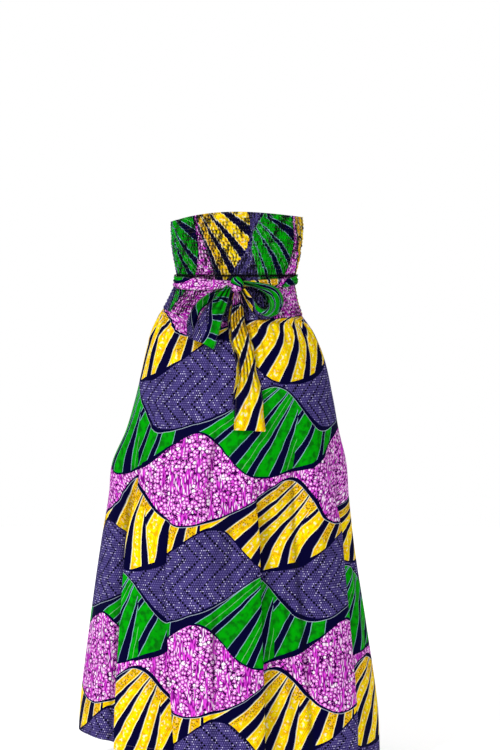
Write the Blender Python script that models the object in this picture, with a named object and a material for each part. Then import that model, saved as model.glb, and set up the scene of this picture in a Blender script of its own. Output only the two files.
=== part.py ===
"""Strapless maxi dress in printed cotton, in the form it has when worn: a shirred back, a plain front,
a long skirt in lapped folds, and a waist sash tied in a bow at the back.

Metres, +Z up. The front of the dress faces -Y and its wearer's left side is at +X. The origin is the
middle of the top opening, at the height of the back's top edge. A "drop" is a distance below it.
A "turn" says where on a ring a point is: 0 left side seam, 0.5 centre back, 1 right side seam,
1.5 centre front, 2 the left side seam again.
"""

from collections import namedtuple

import bmesh
import bpy
import numpy as np

# Cloth
WALL = 0.0015  # thickness of every cloth wall
SEAM_GAP = 0.0003  # room between two pieces at a seam

# Heights, as drops below the origin
SEAM_MIDDLE = 0.235  # where the bodice ends and the skirt begins, at the centre
SEAM_RISE = 0.0155  # how much higher that seam is at the side seams
SEAM_TILT = 0.0085  # how much further it rises at the left than at the right
HEM_MIDDLE = 1.171  # hem at the centre
HEM_LIFT = 0.029  # how much higher the hem is at the left side, and lower at the right
TOP_DIP = 0.017  # how far the top edge dips at the side seams
TOP_TILT = 0.005  # how much further it dips at the left than at the right

# Shirring on the back
SHIRRED_ROWS = 20  # rows of gathered cloth between elastic threads
SHIRRED_GATHERS = 32  # gathers across the back
INNER_EVERY = 4  # rows of the outside for each row of the plain inside
PUFF = 0.0024  # how far a gather stands out

# Skirt
OVAL_FULLNESS = 0.10  # how much fuller than an ellipse the rings are between side and centre
SIDE_FADE = 0.04  # turns over which the folds die out beside a side seam
LAP_DELAY = 3  # above 1 a fold laps over only once it stands out
WAIST_GATHERS = 14  # gathers round half of the skirt's top
WAIST_GATHER_DEPTH = 0.0035
WAIST_GATHER_RISE = 0.010  # drop over which they rise from the seam
WAIST_GATHER_LENGTH = 0.060  # drop over which they fade

# Grids
BACK_COLUMNS, FRONT_COLUMNS, SKIRT_ROWS = 86, 50, 13
ROW_CROWDING = 1.2  # above 1 it crowds the skirt's rows towards the waist
BEND_LENGTH = 0.010  # a turn of one radian draws as many columns as this length of plain cloth
BODICE_FRONT_COLUMNS, BODICE_FRONT_ROWS = 24, 8

# Plain form of the dress: one oval for each drop.
Section = namedtuple("Section", "drop half_width shift behind front")
SECTIONS = (
    Section(0.000, 0.143, -0.001, 0.089, 0.114),
    Section(0.062, 0.142, -0.001, 0.087, 0.122),
    Section(0.106, 0.136, 0.000, 0.083, 0.112),
    Section(0.143, 0.129, 0.001, 0.080, 0.100),
    Section(0.185, 0.138, 0.007, 0.090, 0.102),
    Section(0.231, 0.159, 0.013, 0.108, 0.108),
    Section(0.260, 0.176, 0.010, 0.122, 0.114),
    Section(0.301, 0.191, 0.006, 0.138, 0.122),
    Section(0.409, 0.217, 0.005, 0.166, 0.142),
    Section(0.480, 0.234, 0.009, 0.176, 0.152),
    Section(0.553, 0.258, 0.016, 0.184, 0.162),
    Section(0.620, 0.264, 0.017, 0.192, 0.170),
    Section(0.722, 0.278, 0.020, 0.204, 0.184),
    Section(0.911, 0.306, 0.019, 0.226, 0.208),
    Section(1.110, 0.331, 0.017, 0.246, 0.232),
    Section(1.210, 0.335, 0.017, 0.252, 0.240),
)

# Folds that run down the skirt. place_top, place_hem and width are turns, start and grow are drops, and the
# rest are in metres: step lifts one side over the other, valley sinks the line, lap slides the sides together.
Fold = namedtuple("Fold", "place_top place_hem start grow width step valley lap")
BACK_FOLDS = (
    Fold(0.095, 0.105, 0.60, 0.40, 0.054, 0.000, 0.010, 0.000),
    Fold(0.222, 0.256, 0.32, 0.40, 0.056, 0.044, 0.000, 0.042),
    Fold(0.325, 0.399, 0.36, 0.45, 0.062, 0.042, 0.000, 0.031),
    Fold(0.490, 0.500, 0.70, 0.40, 0.060, 0.000, -0.008, 0.000),
    Fold(0.576, 0.569, 0.42, 0.30, 0.040, -0.024, 0.004, 0.024),
    Fold(0.685, 0.685, 0.36, 0.25, 0.036, 0.000, 0.012, 0.000),
    Fold(0.820, 0.780, 0.40, 0.30, 0.058, -0.044, 0.000, 0.042),
    Fold(0.900, 0.910, 0.85, 0.30, 0.032, 0.000, 0.010, 0.000),
)
FRONT_FOLDS = (
    Fold(1.130, 1.115, 0.50, 0.40, 0.056, 0.000, 0.016, 0.000),
    Fold(1.240, 1.235, 0.42, 0.30, 0.062, 0.040, 0.000, 0.038),
    Fold(1.385, 1.375, 0.55, 0.35, 0.050, 0.000, 0.024, 0.008),
    Fold(1.520, 1.530, 0.36, 0.30, 0.046, 0.000, 0.020, 0.000),
    Fold(1.655, 1.665, 0.48, 0.30, 0.062, -0.040, 0.000, 0.038),
    Fold(1.800, 1.815, 0.45, 0.40, 0.056, 0.008, 0.020, 0.000),
    Fold(1.905, 1.910, 0.70, 0.40, 0.044, 0.000, 0.010, 0.000),
)

# Sash stretches round the waist. out is the room between the strip and the bodice's wall.
Stretch = namedtuple("Stretch", "turn drop height out")
SASH_LEFT = (
    Stretch(-0.040, 0.148, 0.020, 0.0018),
    Stretch(0.020, 0.149, 0.022, 0.0034),
    Stretch(0.120, 0.153, 0.025, 0.0034),
    Stretch(0.280, 0.156, 0.028, 0.0034),
    Stretch(0.400, 0.157, 0.022, 0.0038),
    Stretch(0.480, 0.155, 0.012, 0.0065),
)
SASH_RIGHT = (
    Stretch(0.541, 0.156, 0.012, 0.0065),
    Stretch(0.620, 0.155, 0.018, 0.0040),
    Stretch(0.780, 0.154, 0.020, 0.0034),
    Stretch(0.900, 0.150, 0.020, 0.0034),
    Stretch(0.980, 0.147, 0.019, 0.0034),
    Stretch(1.040, 0.147, 0.018, 0.0018),
)
SASH_CREASE = 0.0016  # depth of the lengthwise creases
SASH_CREASES = 2.5  # how many of them there are across the strip

# Bow. x is across, drop is down, out is from the garment's back, and the edge-to-edge line of the strip
# leans from straight out by lean degrees and from level by tip degrees.
Station = namedtuple("Station", "x drop out width lean tip")
LOOP_LEFT = (
    Station(0.0160, 0.160, 0.0220, 0.011, 82, 28),
    Station(0.0280, 0.181, 0.0280, 0.028, 84, 26),
    Station(0.0470, 0.215, 0.0360, 0.044, 84, 24),
    Station(0.0600, 0.246, 0.0350, 0.053, 84, 24),
    Station(0.0680, 0.270, 0.0310, 0.055, 84, 24),
    Station(0.0730, 0.281, 0.0240, 0.055, 84, 24),
    Station(0.0800, 0.272, 0.0180, 0.054, 84, 26),
    Station(0.0820, 0.246, 0.0165, 0.052, 84, 28),
    Station(0.0690, 0.210, 0.0165, 0.044, 84, 30),
    Station(0.0440, 0.181, 0.0160, 0.028, 84, 30),
    Station(0.0170, 0.167, 0.0150, 0.010, 82, 30),
)
LOOP_RIGHT = (
    Station(-0.0148, 0.168, 0.0180, 0.010, 60, 130),
    Station(-0.0280, 0.190, 0.0200, 0.022, 52, 130),
    Station(-0.0420, 0.210, 0.0240, 0.030, 44, 110),
    Station(-0.0610, 0.220, 0.0250, 0.032, 42, 80),
    Station(-0.0790, 0.213, 0.0240, 0.037, 46, 40),
    Station(-0.0870, 0.194, 0.0230, 0.041, 50, 0),
    Station(-0.0800, 0.175, 0.0210, 0.037, 46, -40),
    Station(-0.0610, 0.163, 0.0200, 0.028, 40, -80),
    Station(-0.0360, 0.156, 0.0190, 0.018, 40, -100),
    Station(-0.0160, 0.153, 0.0180, 0.009, 50, -110),
)
TAIL_LONG = (
    Station(-0.0020, 0.1735, 0.0190, 0.014, 88, 0),
    Station(-0.0030, 0.200, 0.0170, 0.024, 88, 0),
    Station(-0.0030, 0.232, 0.0150, 0.032, 88, 2),
    Station(-0.0085, 0.262, 0.0135, 0.039, 88, 4),
    Station(-0.0150, 0.287, 0.0130, 0.046, 88, 6),
    Station(-0.0230, 0.312, 0.0125, 0.037, 86, 4),
    Station(-0.0255, 0.342, 0.0120, 0.037, 84, -2),
    Station(-0.0275, 0.371, 0.0120, 0.050, 84, -6),
    Station(-0.0275, 0.397, 0.0120, 0.060, 86, -4),
    Station(-0.0275, 0.426, 0.0120, 0.062, 88, 2),
    Station(-0.0295, 0.466, 0.0120, 0.068, 88, 3),
)
TAIL_SHORT = (
    Station(0.0010, 0.1770, 0.0130, 0.012, 88, 0),
    Station(0.0025, 0.200, 0.0105, 0.022, 88, 0),
    Station(0.0035, 0.232, 0.0085, 0.030, 88, 2),
    Station(-0.0030, 0.270, 0.0065, 0.036, 88, 6),
    Station(-0.0130, 0.306, 0.0060, 0.036, 88, 6),
    Station(-0.0185, 0.342, 0.0055, 0.036, 88, 0),
    Station(-0.0170, 0.380, 0.0055, 0.044, 88, -4),
    Station(-0.0150, 0.420, 0.0055, 0.050, 88, -2),
)
STRIP_ROWS, STRIP_COLUMNS = 16, 4
KNOT_PLACE = (-0.001, 0.0170, 0.157)  # x, out and drop of its middle
KNOT_RADII = (0.0150, 0.0125, 0.0175)
KNOT_WRAP = 0.10  # depth of the creases round the knot, as a share of its radius

COLOURS = {  # name: base colour, roughness
    "print_green": ((0.03, 0.36, 0.04, 1.0), 0.75),
    "print_yellow": ((0.95, 0.72, 0.04, 1.0), 0.75),
    "print_indigo": ((0.10, 0.09, 0.25, 1.0), 0.75),
    "print_magenta": ((0.55, 0.16, 0.60, 1.0), 0.75),
}


# ---------------------------------------------------------------- curves through the tables


def smooth(known, values, at):
    """A cubic curve through (known, values), with slopes taken from the neighbouring rows."""
    known, values = np.asarray(known, float), np.asarray(values, float)
    slopes = np.gradient(values, known)
    at = np.clip(at, known[0], known[-1])
    i = np.clip(np.searchsorted(known, at) - 1, 0, len(known) - 2)
    span = known[i + 1] - known[i]
    t = (at - known[i]) / span
    rise, bend = t * t * (3 - 2 * t), t * (1 - t)
    start, end = bend * (1 - t) * slopes[i], bend * t * slopes[i + 1]
    return values[i] * (1 - rise) + values[i + 1] * rise + span * (start - end)


def column(rows, name, at, key="drop"):
    """One named column of a table, read at the given places along another column."""
    return smooth([getattr(r, key) for r in rows], [getattr(r, name) for r in rows], at)


def along(rows, count):
    """The columns of a table read at count even steps along it, as one named row of arrays."""
    at = np.linspace(0, len(rows) - 1, count)
    whole = np.arange(len(rows))
    return type(rows[0])(*(smooth(whole, values, at) for values in zip(*rows)))


def ease(t):
    """0 below 0, 1 above 1, and a smooth step between."""
    t = np.clip(t, 0, 1)
    return t * t * (3 - 2 * t)


# ---------------------------------------------------------------- form of the garment


def ring(turn, drop):
    """Points of the plain form, with the level directions outwards and along the ring."""
    angle = np.pi * turn
    half_width = column(SECTIONS, "half_width", drop)
    behind = np.sin(angle) >= 0
    depth = np.where(behind, column(SECTIONS, "behind", drop), column(SECTIONS, "front", drop))
    cos, sin = np.cos(angle), np.sin(angle)
    x = column(SECTIONS, "shift", drop) + half_width * cos
    y = depth * sin * (1 + OVAL_FULLNESS * cos**2)
    size = np.hypot(depth * cos, half_width * sin)
    outwards = np.stack([depth * cos / size, half_width * sin / size], -1)
    forwards = np.stack([-half_width * sin / size, depth * cos / size], -1)
    return np.stack([x, y], -1), outwards, forwards


def fold_line(fold, drop):
    """The turn at which a fold lies at a drop."""
    share = np.clip((drop - fold.start) / (HEM_MIDDLE - fold.start), 0, 1)
    return fold.place_top + (fold.place_hem - fold.place_top) * share


def folded(turn, drop, folds):
    """The skirt's middle surface: the plain form with its folds and waist gathers, as an array of points."""
    turn, drop = np.broadcast_arrays(turn, drop)
    place, outwards, forwards = ring(turn, drop)
    slide, lift = np.zeros(turn.shape), np.zeros(turn.shape)
    for fold in folds:
        u = (turn - fold_line(fold, drop)) / fold.width
        grown = ease((drop - fold.start) / fold.grow)
        slide -= grown**LAP_DELAY * fold.lap * np.sin(np.pi * u) * np.exp(-(u**2))
        lift += grown * (fold.step * u * np.exp(-(u**2) / 2) - fold.valley * np.exp(-(u**2)))
    from_side = np.minimum(turn % 1, 1 - turn % 1)
    fade = ease(from_side / SIDE_FADE)
    below = np.maximum(0, drop - waist_seam(turn))
    gathers = (1 - np.exp(-below / WAIST_GATHER_RISE)) * np.exp(-below / WAIST_GATHER_LENGTH)
    gathers = gathers * np.cos(2 * np.pi * WAIST_GATHERS * turn)
    lift = (lift + WAIST_GATHER_DEPTH * gathers) * fade
    level = place + forwards * (slide * fade)[..., None] + outwards * lift[..., None]
    return np.concatenate([level, -drop[..., None]], -1)


def hem_turns(first, columns, folds):
    """Turns over half of the hem whose points are evenly spaced along it, and closer where the cloth bends."""
    fine = np.linspace(first, first + 1, 3000)
    steps = np.diff(folded(fine, hem(fine), folds), axis=0)
    size = np.linalg.norm(steps, axis=1)
    bend = np.linalg.norm(np.diff(steps / size[:, None], axis=0), axis=1)
    weight = size + BEND_LENGTH * np.append(bend, 0)
    reached = np.concatenate([[0], np.cumsum(weight)])
    return np.interp(np.linspace(0, reached[-1], columns + 1), reached, fine)


def row_turns(turns, drop, folds):
    """The hem's turns moved sideways so that each column keeps its place beside the folds at another drop."""
    ends = [turns[0]], [turns[-1]]
    at_hem = np.concatenate([ends[0], [fold.place_hem for fold in folds], ends[1]])
    at_drop = np.concatenate([ends[0], [fold_line(fold, drop) for fold in folds], ends[1]])
    return np.interp(turns, at_hem, at_drop)


def top_edge(turn):
    """The drop of the top edge: level at centre back and centre front, and dipping at the sides."""
    cos = np.cos(np.pi * turn)
    return (TOP_DIP + TOP_TILT * cos) * cos**2


def waist_seam(turn):
    """The drop of the seam between bodice and skirt, which rises towards the side seams."""
    cos = np.cos(np.pi * turn)
    return SEAM_MIDDLE - (SEAM_RISE + SEAM_TILT * cos) * cos**2


def hem(turn):
    return HEM_MIDDLE - HEM_LIFT * np.cos(np.pi * turn)


def facing(grid):
    """Unit normals of a grid of points, pointing outwards when its columns run along the turn."""
    down, across = np.gradient(grid, axis=0), np.gradient(grid, axis=1)
    normal = np.cross(down, across)
    return normal / np.linalg.norm(normal, axis=-1, keepdims=True)


def back_y(x, drop):
    """How far behind the origin the garment's plain back is, at that x and drop."""
    half_width, shift = column(SECTIONS, "half_width", drop), column(SECTIONS, "shift", drop)
    cos = np.clip((x - shift) / half_width, -1, 1)
    return column(SECTIONS, "behind", drop) * np.sqrt(1 - cos**2) * (1 + OVAL_FULLNESS * cos**2)


# ---------------------------------------------------------------- solids


def material(name):
    found = bpy.data.materials.get(name)
    if found:
        return found
    colour, roughness = COLOURS[name]
    made = bpy.data.materials.new(name)
    made.use_nodes = True
    shader = made.node_tree.nodes["Principled BSDF"]
    shader.inputs["Base Color"].default_value = colour
    shader.inputs["Roughness"].default_value = roughness
    shader.inputs["Metallic"].default_value = 0.0
    return made


def place(name, mesh_in_progress, finish):
    """Makes the bmesh a named, smooth-shaded object with its material."""
    bmesh.ops.recalc_face_normals(mesh_in_progress, faces=mesh_in_progress.faces[:])
    if mesh_in_progress.calc_volume(signed=True) < 0:
        bmesh.ops.reverse_faces(mesh_in_progress, faces=mesh_in_progress.faces[:])
    mesh = bpy.data.meshes.new(name)
    mesh_in_progress.to_mesh(mesh)
    mesh_in_progress.free()
    mesh.shade_smooth()
    mesh.materials.append(material(finish))
    made = bpy.data.objects.new(name, mesh)
    bpy.context.scene.collection.objects.link(made)
    return made


def wall(name, outer, inner, finish):
    """A closed wall between two grids of points with the same columns. The outer grid may have several rows
    for each row of the inner one. Both sides are split along the same diagonals, so they never meet."""
    body = bmesh.new()
    out = [[body.verts.new(p) for p in row] for row in outer]
    ins = [[body.verts.new(p) for p in row] for row in inner]
    for grid in (out, ins):
        for upper, lower in zip(grid, grid[1:]):
            for j in range(len(upper) - 1):
                body.faces.new((upper[j], upper[j + 1], lower[j + 1]))
                body.faces.new((upper[j], lower[j + 1], lower[j]))
    for outer_row, inner_row in ((out[0], ins[0]), (out[-1], ins[-1])):
        for j in range(len(outer_row) - 1):
            body.faces.new((outer_row[j], outer_row[j + 1], inner_row[j + 1], inner_row[j]))
    each = (len(out) - 1) // (len(ins) - 1)
    for j in (0, -1):
        for k in range(len(ins) - 1):
            edge = [row[j] for row in out[k * each : (k + 1) * each + 1]]
            body.faces.new(edge + [ins[k + 1][j], ins[k][j]])
    return place(name, body, finish)


def even_wall(name, grid, finish):
    """A wall of the cloth's thickness with the grid as its middle surface."""
    normal = facing(grid) * WALL / 2
    return wall(name, grid + normal, grid - normal, finish)


def side_gap(grid):
    """The grid with its first and last column drawn back from the side seams by half the seam gap."""
    grid = grid.copy()
    for j, sign in ((0, 1), (-1, -1)):
        inwards = grid[:, j + sign] - grid[:, j]
        grid[:, j] += inwards / np.linalg.norm(inwards, axis=-1, keepdims=True) * SEAM_GAP
    return grid


def bodice_back():
    """The shirred back: a plain inside, and an outside raised in rows of small gathers."""
    rows, columns = 2 * SHIRRED_ROWS, 2 * SHIRRED_GATHERS
    turns = np.linspace(0, 1, columns + 1)[None, :]
    share = np.linspace(0, 1, rows + 1)[:, None]
    top = top_edge(turns)
    drops = top + share * (waist_seam(turns) - SEAM_GAP / 2 - top)
    level = ring(turns + 0 * share, drops)[0]
    grid = side_gap(np.concatenate([level, -drops[..., None]], -1))
    normal = facing(grid)
    row_puff = np.sin(np.pi * share * SHIRRED_ROWS) ** 2
    gather = 0.5 - 0.5 * np.cos(2 * np.pi * SHIRRED_GATHERS * turns)
    raised = PUFF * row_puff * (0.3 + 0.7 * gather) * ease(np.minimum(turns, 1 - turns) / SIDE_FADE)
    outer = grid + normal * (WALL / 2 + raised[..., None])
    inner = (grid - normal * WALL / 2)[::INNER_EVERY]
    return wall("bodice_back", outer, inner, "print_magenta")


def bodice_front():
    turns = np.linspace(1, 2, BODICE_FRONT_COLUMNS + 1)[None, :]
    share = np.linspace(0, 1, BODICE_FRONT_ROWS + 1)[:, None]
    top = top_edge(turns)
    drops = top + share * (waist_seam(turns) - SEAM_GAP / 2 - top)
    level = ring(turns + 0 * share, drops)[0]
    grid = side_gap(np.concatenate([level, -drops[..., None]], -1))
    return even_wall("bodice_front", grid, "print_yellow")


def skirt(name, first, columns, folds, finish):
    """Half of the skirt, from one side seam to the other."""
    across = hem_turns(first, columns, folds)
    rows = []
    for share in np.linspace(0, 1, SKIRT_ROWS + 1) ** ROW_CROWDING:
        turns = row_turns(across, SEAM_MIDDLE + share * (HEM_MIDDLE - SEAM_MIDDLE), folds)
        top = waist_seam(turns) + SEAM_GAP / 2
        rows.append(folded(turns, top + share * (hem(turns) - top), folds))
    return even_wall(name, side_gap(np.stack(rows)), finish)


def sash(name, rows, finish):
    """A strip round the waist with lengthwise creases, lying just off the bodice."""
    line = along(rows, STRIP_ROWS + 1)
    across = np.linspace(-1, 1, STRIP_COLUMNS + 1)
    turn, share = line.turn[:, None], across[None, :]
    drops = line.drop[:, None] + share * line.height[:, None] / 2
    level, outwards, _ = ring(turn + 0 * share, drops)
    crease = SASH_CREASE * np.sin(np.pi * SASH_CREASES * share) * np.ones_like(turn)
    out = line.out[:, None] + WALL / 2 + SASH_CREASE + crease
    level = level + outwards * out[..., None]
    grid = np.concatenate([level, -drops[..., None]], -1)
    return even_wall(name, grid.transpose(1, 0, 2), finish)


def strip(name, rows, finish, pleats, crimp):
    """A strip of the bow: its middle line runs through the stations, and its width lies along the line that
    lean and tip give, with lengthwise pleats that flatten out where the strip is widest."""
    line = along(rows, STRIP_ROWS + 1)
    lean, tip = np.radians(line.lean), np.radians(line.tip)
    middle = np.stack([line.x, back_y(line.x, line.drop) + line.out, -line.drop], -1)
    edge = np.stack([np.sin(lean) * np.cos(tip), np.cos(lean), np.sin(lean) * np.sin(tip)], -1)
    forwards = np.gradient(middle, axis=0)
    out = np.cross(forwards, edge)
    out /= np.linalg.norm(out, axis=-1, keepdims=True)
    across = np.linspace(-1, 1, STRIP_COLUMNS + 1)[None, :, None]
    depth = crimp * (1 - line.width / (1.3 * line.width.max()))[:, None, None]
    grid = middle[:, None] + edge[:, None] * across * line.width[:, None, None] / 2
    grid = grid + out[:, None] * depth * np.cos(np.pi * pleats * across)
    return even_wall(name, grid, finish)


def knot():
    """The wrapped knot: an egg shape with creases running slantwise round it."""
    body = bmesh.new()
    bmesh.ops.create_uvsphere(body, u_segments=18, v_segments=12, radius=1)
    x, out, drop = KNOT_PLACE
    middle = np.array([x, back_y(x, drop) + out, -drop])
    for vert in body.verts:
        p = np.array(vert.co)
        slant = np.arctan2(p[1], p[0]) + 1.2 * p[2]
        shrink = 1 - KNOT_WRAP * (0.5 + 0.5 * np.cos(3 * slant)) * (1 - p[2] ** 2)
        vert.co = middle + p * np.array(KNOT_RADII) * shrink
    return place("knot", body, "print_indigo")


def main():
    for old in list(bpy.data.objects):
        bpy.data.objects.remove(old)
    bodice_back()
    bodice_front()
    skirt("skirt_back", 0, BACK_COLUMNS, BACK_FOLDS, "print_green")
    skirt("skirt_front", 1, FRONT_COLUMNS, FRONT_FOLDS, "print_indigo")
    sash("sash_left", SASH_LEFT, "print_magenta")
    sash("sash_right", SASH_RIGHT, "print_yellow")
    strip("loop_left", LOOP_LEFT, "print_indigo", pleats=1.0, crimp=0.003)
    strip("loop_right", LOOP_RIGHT, "print_green", pleats=1.0, crimp=0.003)
    strip("tail_long", TAIL_LONG, "print_yellow", pleats=2.0, crimp=0.004)
    strip("tail_short", TAIL_SHORT, "print_yellow", pleats=1.0, crimp=0.002)
    knot()


main()
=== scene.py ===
"""Looks of the ankara wax print dress: fine cloth in a shader-drawn wax print, its bow, sewing and stage.

Metres, +Z up. The front of the dress faces -Y and its wearer's left side is at +X. A "drop" is a distance
below the origin. A "turn" is a place on a ring: 0 left side seam, 0.5 centre back, 1 right side seam,
1.5 centre front. Every cloth piece has a UV map named "cloth", which is its flat cloth in metres.
"""

from collections import namedtuple
from functools import partialmethod, reduce

import bmesh
import bpy
import numpy as np
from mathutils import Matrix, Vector


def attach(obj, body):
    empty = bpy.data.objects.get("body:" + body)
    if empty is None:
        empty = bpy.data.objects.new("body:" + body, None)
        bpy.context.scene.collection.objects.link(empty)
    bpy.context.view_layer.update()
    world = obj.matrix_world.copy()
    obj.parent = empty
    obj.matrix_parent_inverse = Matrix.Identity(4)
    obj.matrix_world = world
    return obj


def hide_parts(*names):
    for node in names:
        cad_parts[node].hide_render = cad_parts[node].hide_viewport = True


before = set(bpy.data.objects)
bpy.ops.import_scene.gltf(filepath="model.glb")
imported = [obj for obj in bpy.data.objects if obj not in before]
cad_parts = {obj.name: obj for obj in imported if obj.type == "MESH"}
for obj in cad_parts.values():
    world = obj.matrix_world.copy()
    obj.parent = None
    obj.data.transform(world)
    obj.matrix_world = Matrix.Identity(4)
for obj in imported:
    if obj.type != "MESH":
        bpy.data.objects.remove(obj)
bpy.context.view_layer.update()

bl_info = {
    "name": "Wax print dress",
    "version": (1, 0, 0),
    "blender": (4, 5, 0),
    "location": "View3D > Sidebar > Dress",
    "description": "Makes the cloth, bow, sewing and stage of a strapless wax print dress",
    "category": "Object",
}

# ---------------------------------------------------------------- sizes of the garment

SEAM_GAP = 0.0003  # room between two pieces at a seam
SEAM_MIDDLE = 0.235  # drop of the seam between bodice and skirt at the centre
SEAM_RISE, SEAM_TILT = 0.0155, 0.0085  # how it rises at the sides, and further at the left
HEM_MIDDLE, HEM_LIFT = 1.171, 0.029
TOP_DIP, TOP_TILT = 0.017, 0.005  # how the top edge dips at the sides, and further at the left
OVAL_FULLNESS = 0.10  # how much fuller than an oval a ring is between its sides and its middle
SIDE_FADE = 0.04  # turns over which the folds die out beside a side seam
GATHER_RISE, GATHER_LENGTH = 0.007, 0.040  # how soon waist gathers rise below the seam, and die out
LAP_DELAY = 3  # a fold laps over later than it rises, by this power
SKIRT_ROWS, ROW_CROWDING = 142, 1.2  # they lie closer at the top, by this power
HEM_POINTS = 4000  # on which the hem is measured before it is divided
BEND_LENGTH = 0.010  # length that a bend of one radian counts for then
BUST_LINE = 0.10  # drop at which the back is measured round
SEAM_PINCH, SEAM_PINCH_LENGTH, SIDE_PINCH_TURNS = 0.0012, 0.0045, 0.004  # how cloth turns in at a seam


def table(kind, *rows):
    """Named rows, in thousandths of a metre, of a turn or of a share. Lean and tip are in degrees."""
    angles = ("lean", "tip")
    scales = [1 if name in angles else 1000 for name in kind._fields]
    return tuple(kind(*(value / scale for value, scale in zip(row, scales))) for row in rows)


# The plain form: an oval ring at each drop. shift is how far its middle lies towards the left side, and
# behind and front are its depths from there.
Section = namedtuple("Section", "drop half_width shift behind front")
SECTIONS = table(
    Section,
    (0, 143, -1, 89, 114),
    (62, 142, -1, 87, 122),
    (106, 136, 0, 83, 112),
    (143, 129, 1, 80, 100),
    (185, 138, 7, 90, 102),
    (231, 159, 13, 108, 108),
    (260, 176, 10, 122, 114),
    (301, 191, 6, 138, 122),
    (409, 217, 5, 166, 142),
    (480, 234, 9, 176, 152),
    (553, 258, 16, 184, 162),
    (620, 264, 17, 192, 170),
    (722, 278, 20, 204, 184),
    (911, 306, 19, 226, 208),
    (1110, 331, 17, 246, 232),
    (1210, 335, 17, 252, 240),
)

# Folds that run down the skirt. They start at a drop and grow over the next metres. place_top, place_hem and
# width are turns. A step lifts one side over the other, a valley sinks, and lap draws the cloth sideways.
Fold = namedtuple("Fold", "place_top place_hem start grow width step valley lap")
BACK_FOLDS = table(
    Fold,
    (95, 105, 600, 400, 54, 0, 10, 0),
    (222, 256, 320, 400, 56, 44, 0, 42),
    (325, 399, 360, 450, 62, 42, 0, 31),
    (490, 500, 700, 400, 60, 0, -8, 0),
    (576, 569, 420, 300, 40, -24, 4, 24),
    (685, 685, 360, 250, 36, 4, 12, 4),
    (820, 780, 400, 300, 58, -44, 0, 42),
    (900, 910, 850, 300, 32, 0, 10, 0),
)
FRONT_FOLDS = table(
    Fold,
    (1130, 1115, 500, 400, 56, 0, 16, 0),
    (1240, 1235, 420, 300, 62, 40, 0, 38),
    (1385, 1375, 550, 350, 50, 0, 24, 8),
    (1520, 1530, 360, 300, 46, 0, 20, 0),
    (1655, 1665, 480, 300, 62, -40, 0, 38),
    (1800, 1815, 450, 400, 56, 8, 20, 0),
    (1905, 1910, 700, 400, 44, 0, 10, 0),
)

# Small creases. They run from turn at the drop start to turn_low at the drop end. width is in turns, and
# depth is above 0 for a ridge.
Crease = namedtuple("Crease", "turn turn_low start end width depth")
BACK_CREASES = table(
    Crease,
    (55, 62, 215, 330, 11, 3),
    (90, 100, 218, 290, 9, -2.6),
    (118, 150, 220, 410, 13, 3.4),
    (162, 170, 224, 300, 10, 3),
    (196, 190, 226, 360, 10, -3),
    (224, 235, 228, 290, 8, 2.6),
    (262, 290, 230, 470, 13, 3.6),
    (296, 300, 231, 310, 8, -2.4),
    (331, 345, 233, 380, 11, 3),
    (368, 372, 234, 290, 9, 2.8),
    (402, 425, 235, 430, 12, -3.2),
    (437, 440, 235, 320, 9, 2.6),
    (473, 482, 235, 355, 11, 3),
    (514, 512, 235, 300, 9, -2.6),
    (545, 540, 235, 440, 13, 3.4),
    (584, 580, 235, 300, 8, 2.4),
    (612, 620, 234, 370, 11, -2.8),
    (655, 650, 233, 310, 9, 3),
    (690, 700, 232, 420, 12, 2.6),
    (726, 722, 230, 290, 8, -2.6),
    (762, 770, 228, 390, 12, 3.2),
    (803, 800, 226, 300, 9, 2.6),
    (842, 835, 224, 350, 11, -3),
    (880, 872, 221, 300, 10, 3),
    (925, 915, 219, 400, 13, 2.8),
    (150, 128, 520, 980, 16, 4.2),
    (178, 190, 640, 1171, 13, -3.6),
    (300, 318, 470, 860, 15, 3.6),
    (335, 352, 760, 1171, 12, 4),
    (455, 448, 430, 760, 13, -3.6),
    (470, 466, 820, 1171, 12, -4.4),
    (528, 536, 560, 1171, 14, 4),
    (628, 622, 500, 940, 11, 4.2),
    (648, 640, 780, 1171, 12, -3.8),
    (735, 715, 450, 1050, 14, 4.6),
    (875, 850, 520, 990, 15, 3.8),
    (945, 950, 640, 1171, 14, -3.4),
    (400, 330, 520, 660, 10, 2.2),
    (560, 505, 640, 790, 10, 2),
    (700, 760, 560, 700, 10, -2.2),
    (245, 205, 420, 520, 9, 2),
)
FRONT_CREASES = table(
    Crease,
    (1060, 1066, 212, 340, 12, 3),
    (1105, 1100, 216, 300, 9, -2.6),
    (1152, 1165, 221, 400, 13, 3.2),
    (1204, 1200, 225, 310, 10, 2.8),
    (1246, 1256, 228, 360, 11, -3),
    (1298, 1290, 231, 300, 9, 2.6),
    (1342, 1352, 233, 430, 13, 3.4),
    (1397, 1400, 235, 310, 10, -2.6),
    (1440, 1436, 235, 370, 12, 3),
    (1492, 1496, 235, 300, 9, 2.8),
    (1538, 1530, 235, 410, 12, -3.2),
    (1588, 1596, 234, 330, 11, 3),
    (1634, 1630, 233, 290, 9, -2.4),
    (1680, 1690, 231, 420, 13, 3.2),
    (1731, 1726, 229, 310, 10, 2.8),
    (1780, 1774, 226, 350, 11, -3),
    (1832, 1842, 222, 390, 12, 3),
    (1885, 1880, 218, 300, 10, 2.6),
    (1936, 1930, 213, 330, 11, -2.6),
    (1090, 1080, 560, 1020, 16, 3.8),
    (1180, 1190, 700, 1171, 14, -3.6),
    (1310, 1302, 480, 880, 14, 4),
    (1330, 1326, 830, 1171, 13, 3.8),
    (1452, 1446, 450, 960, 15, -4),
    (1588, 1600, 520, 1171, 15, 4.2),
    (1730, 1742, 600, 1171, 14, -3.6),
    (1860, 1868, 480, 900, 15, 3.8),
)
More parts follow.
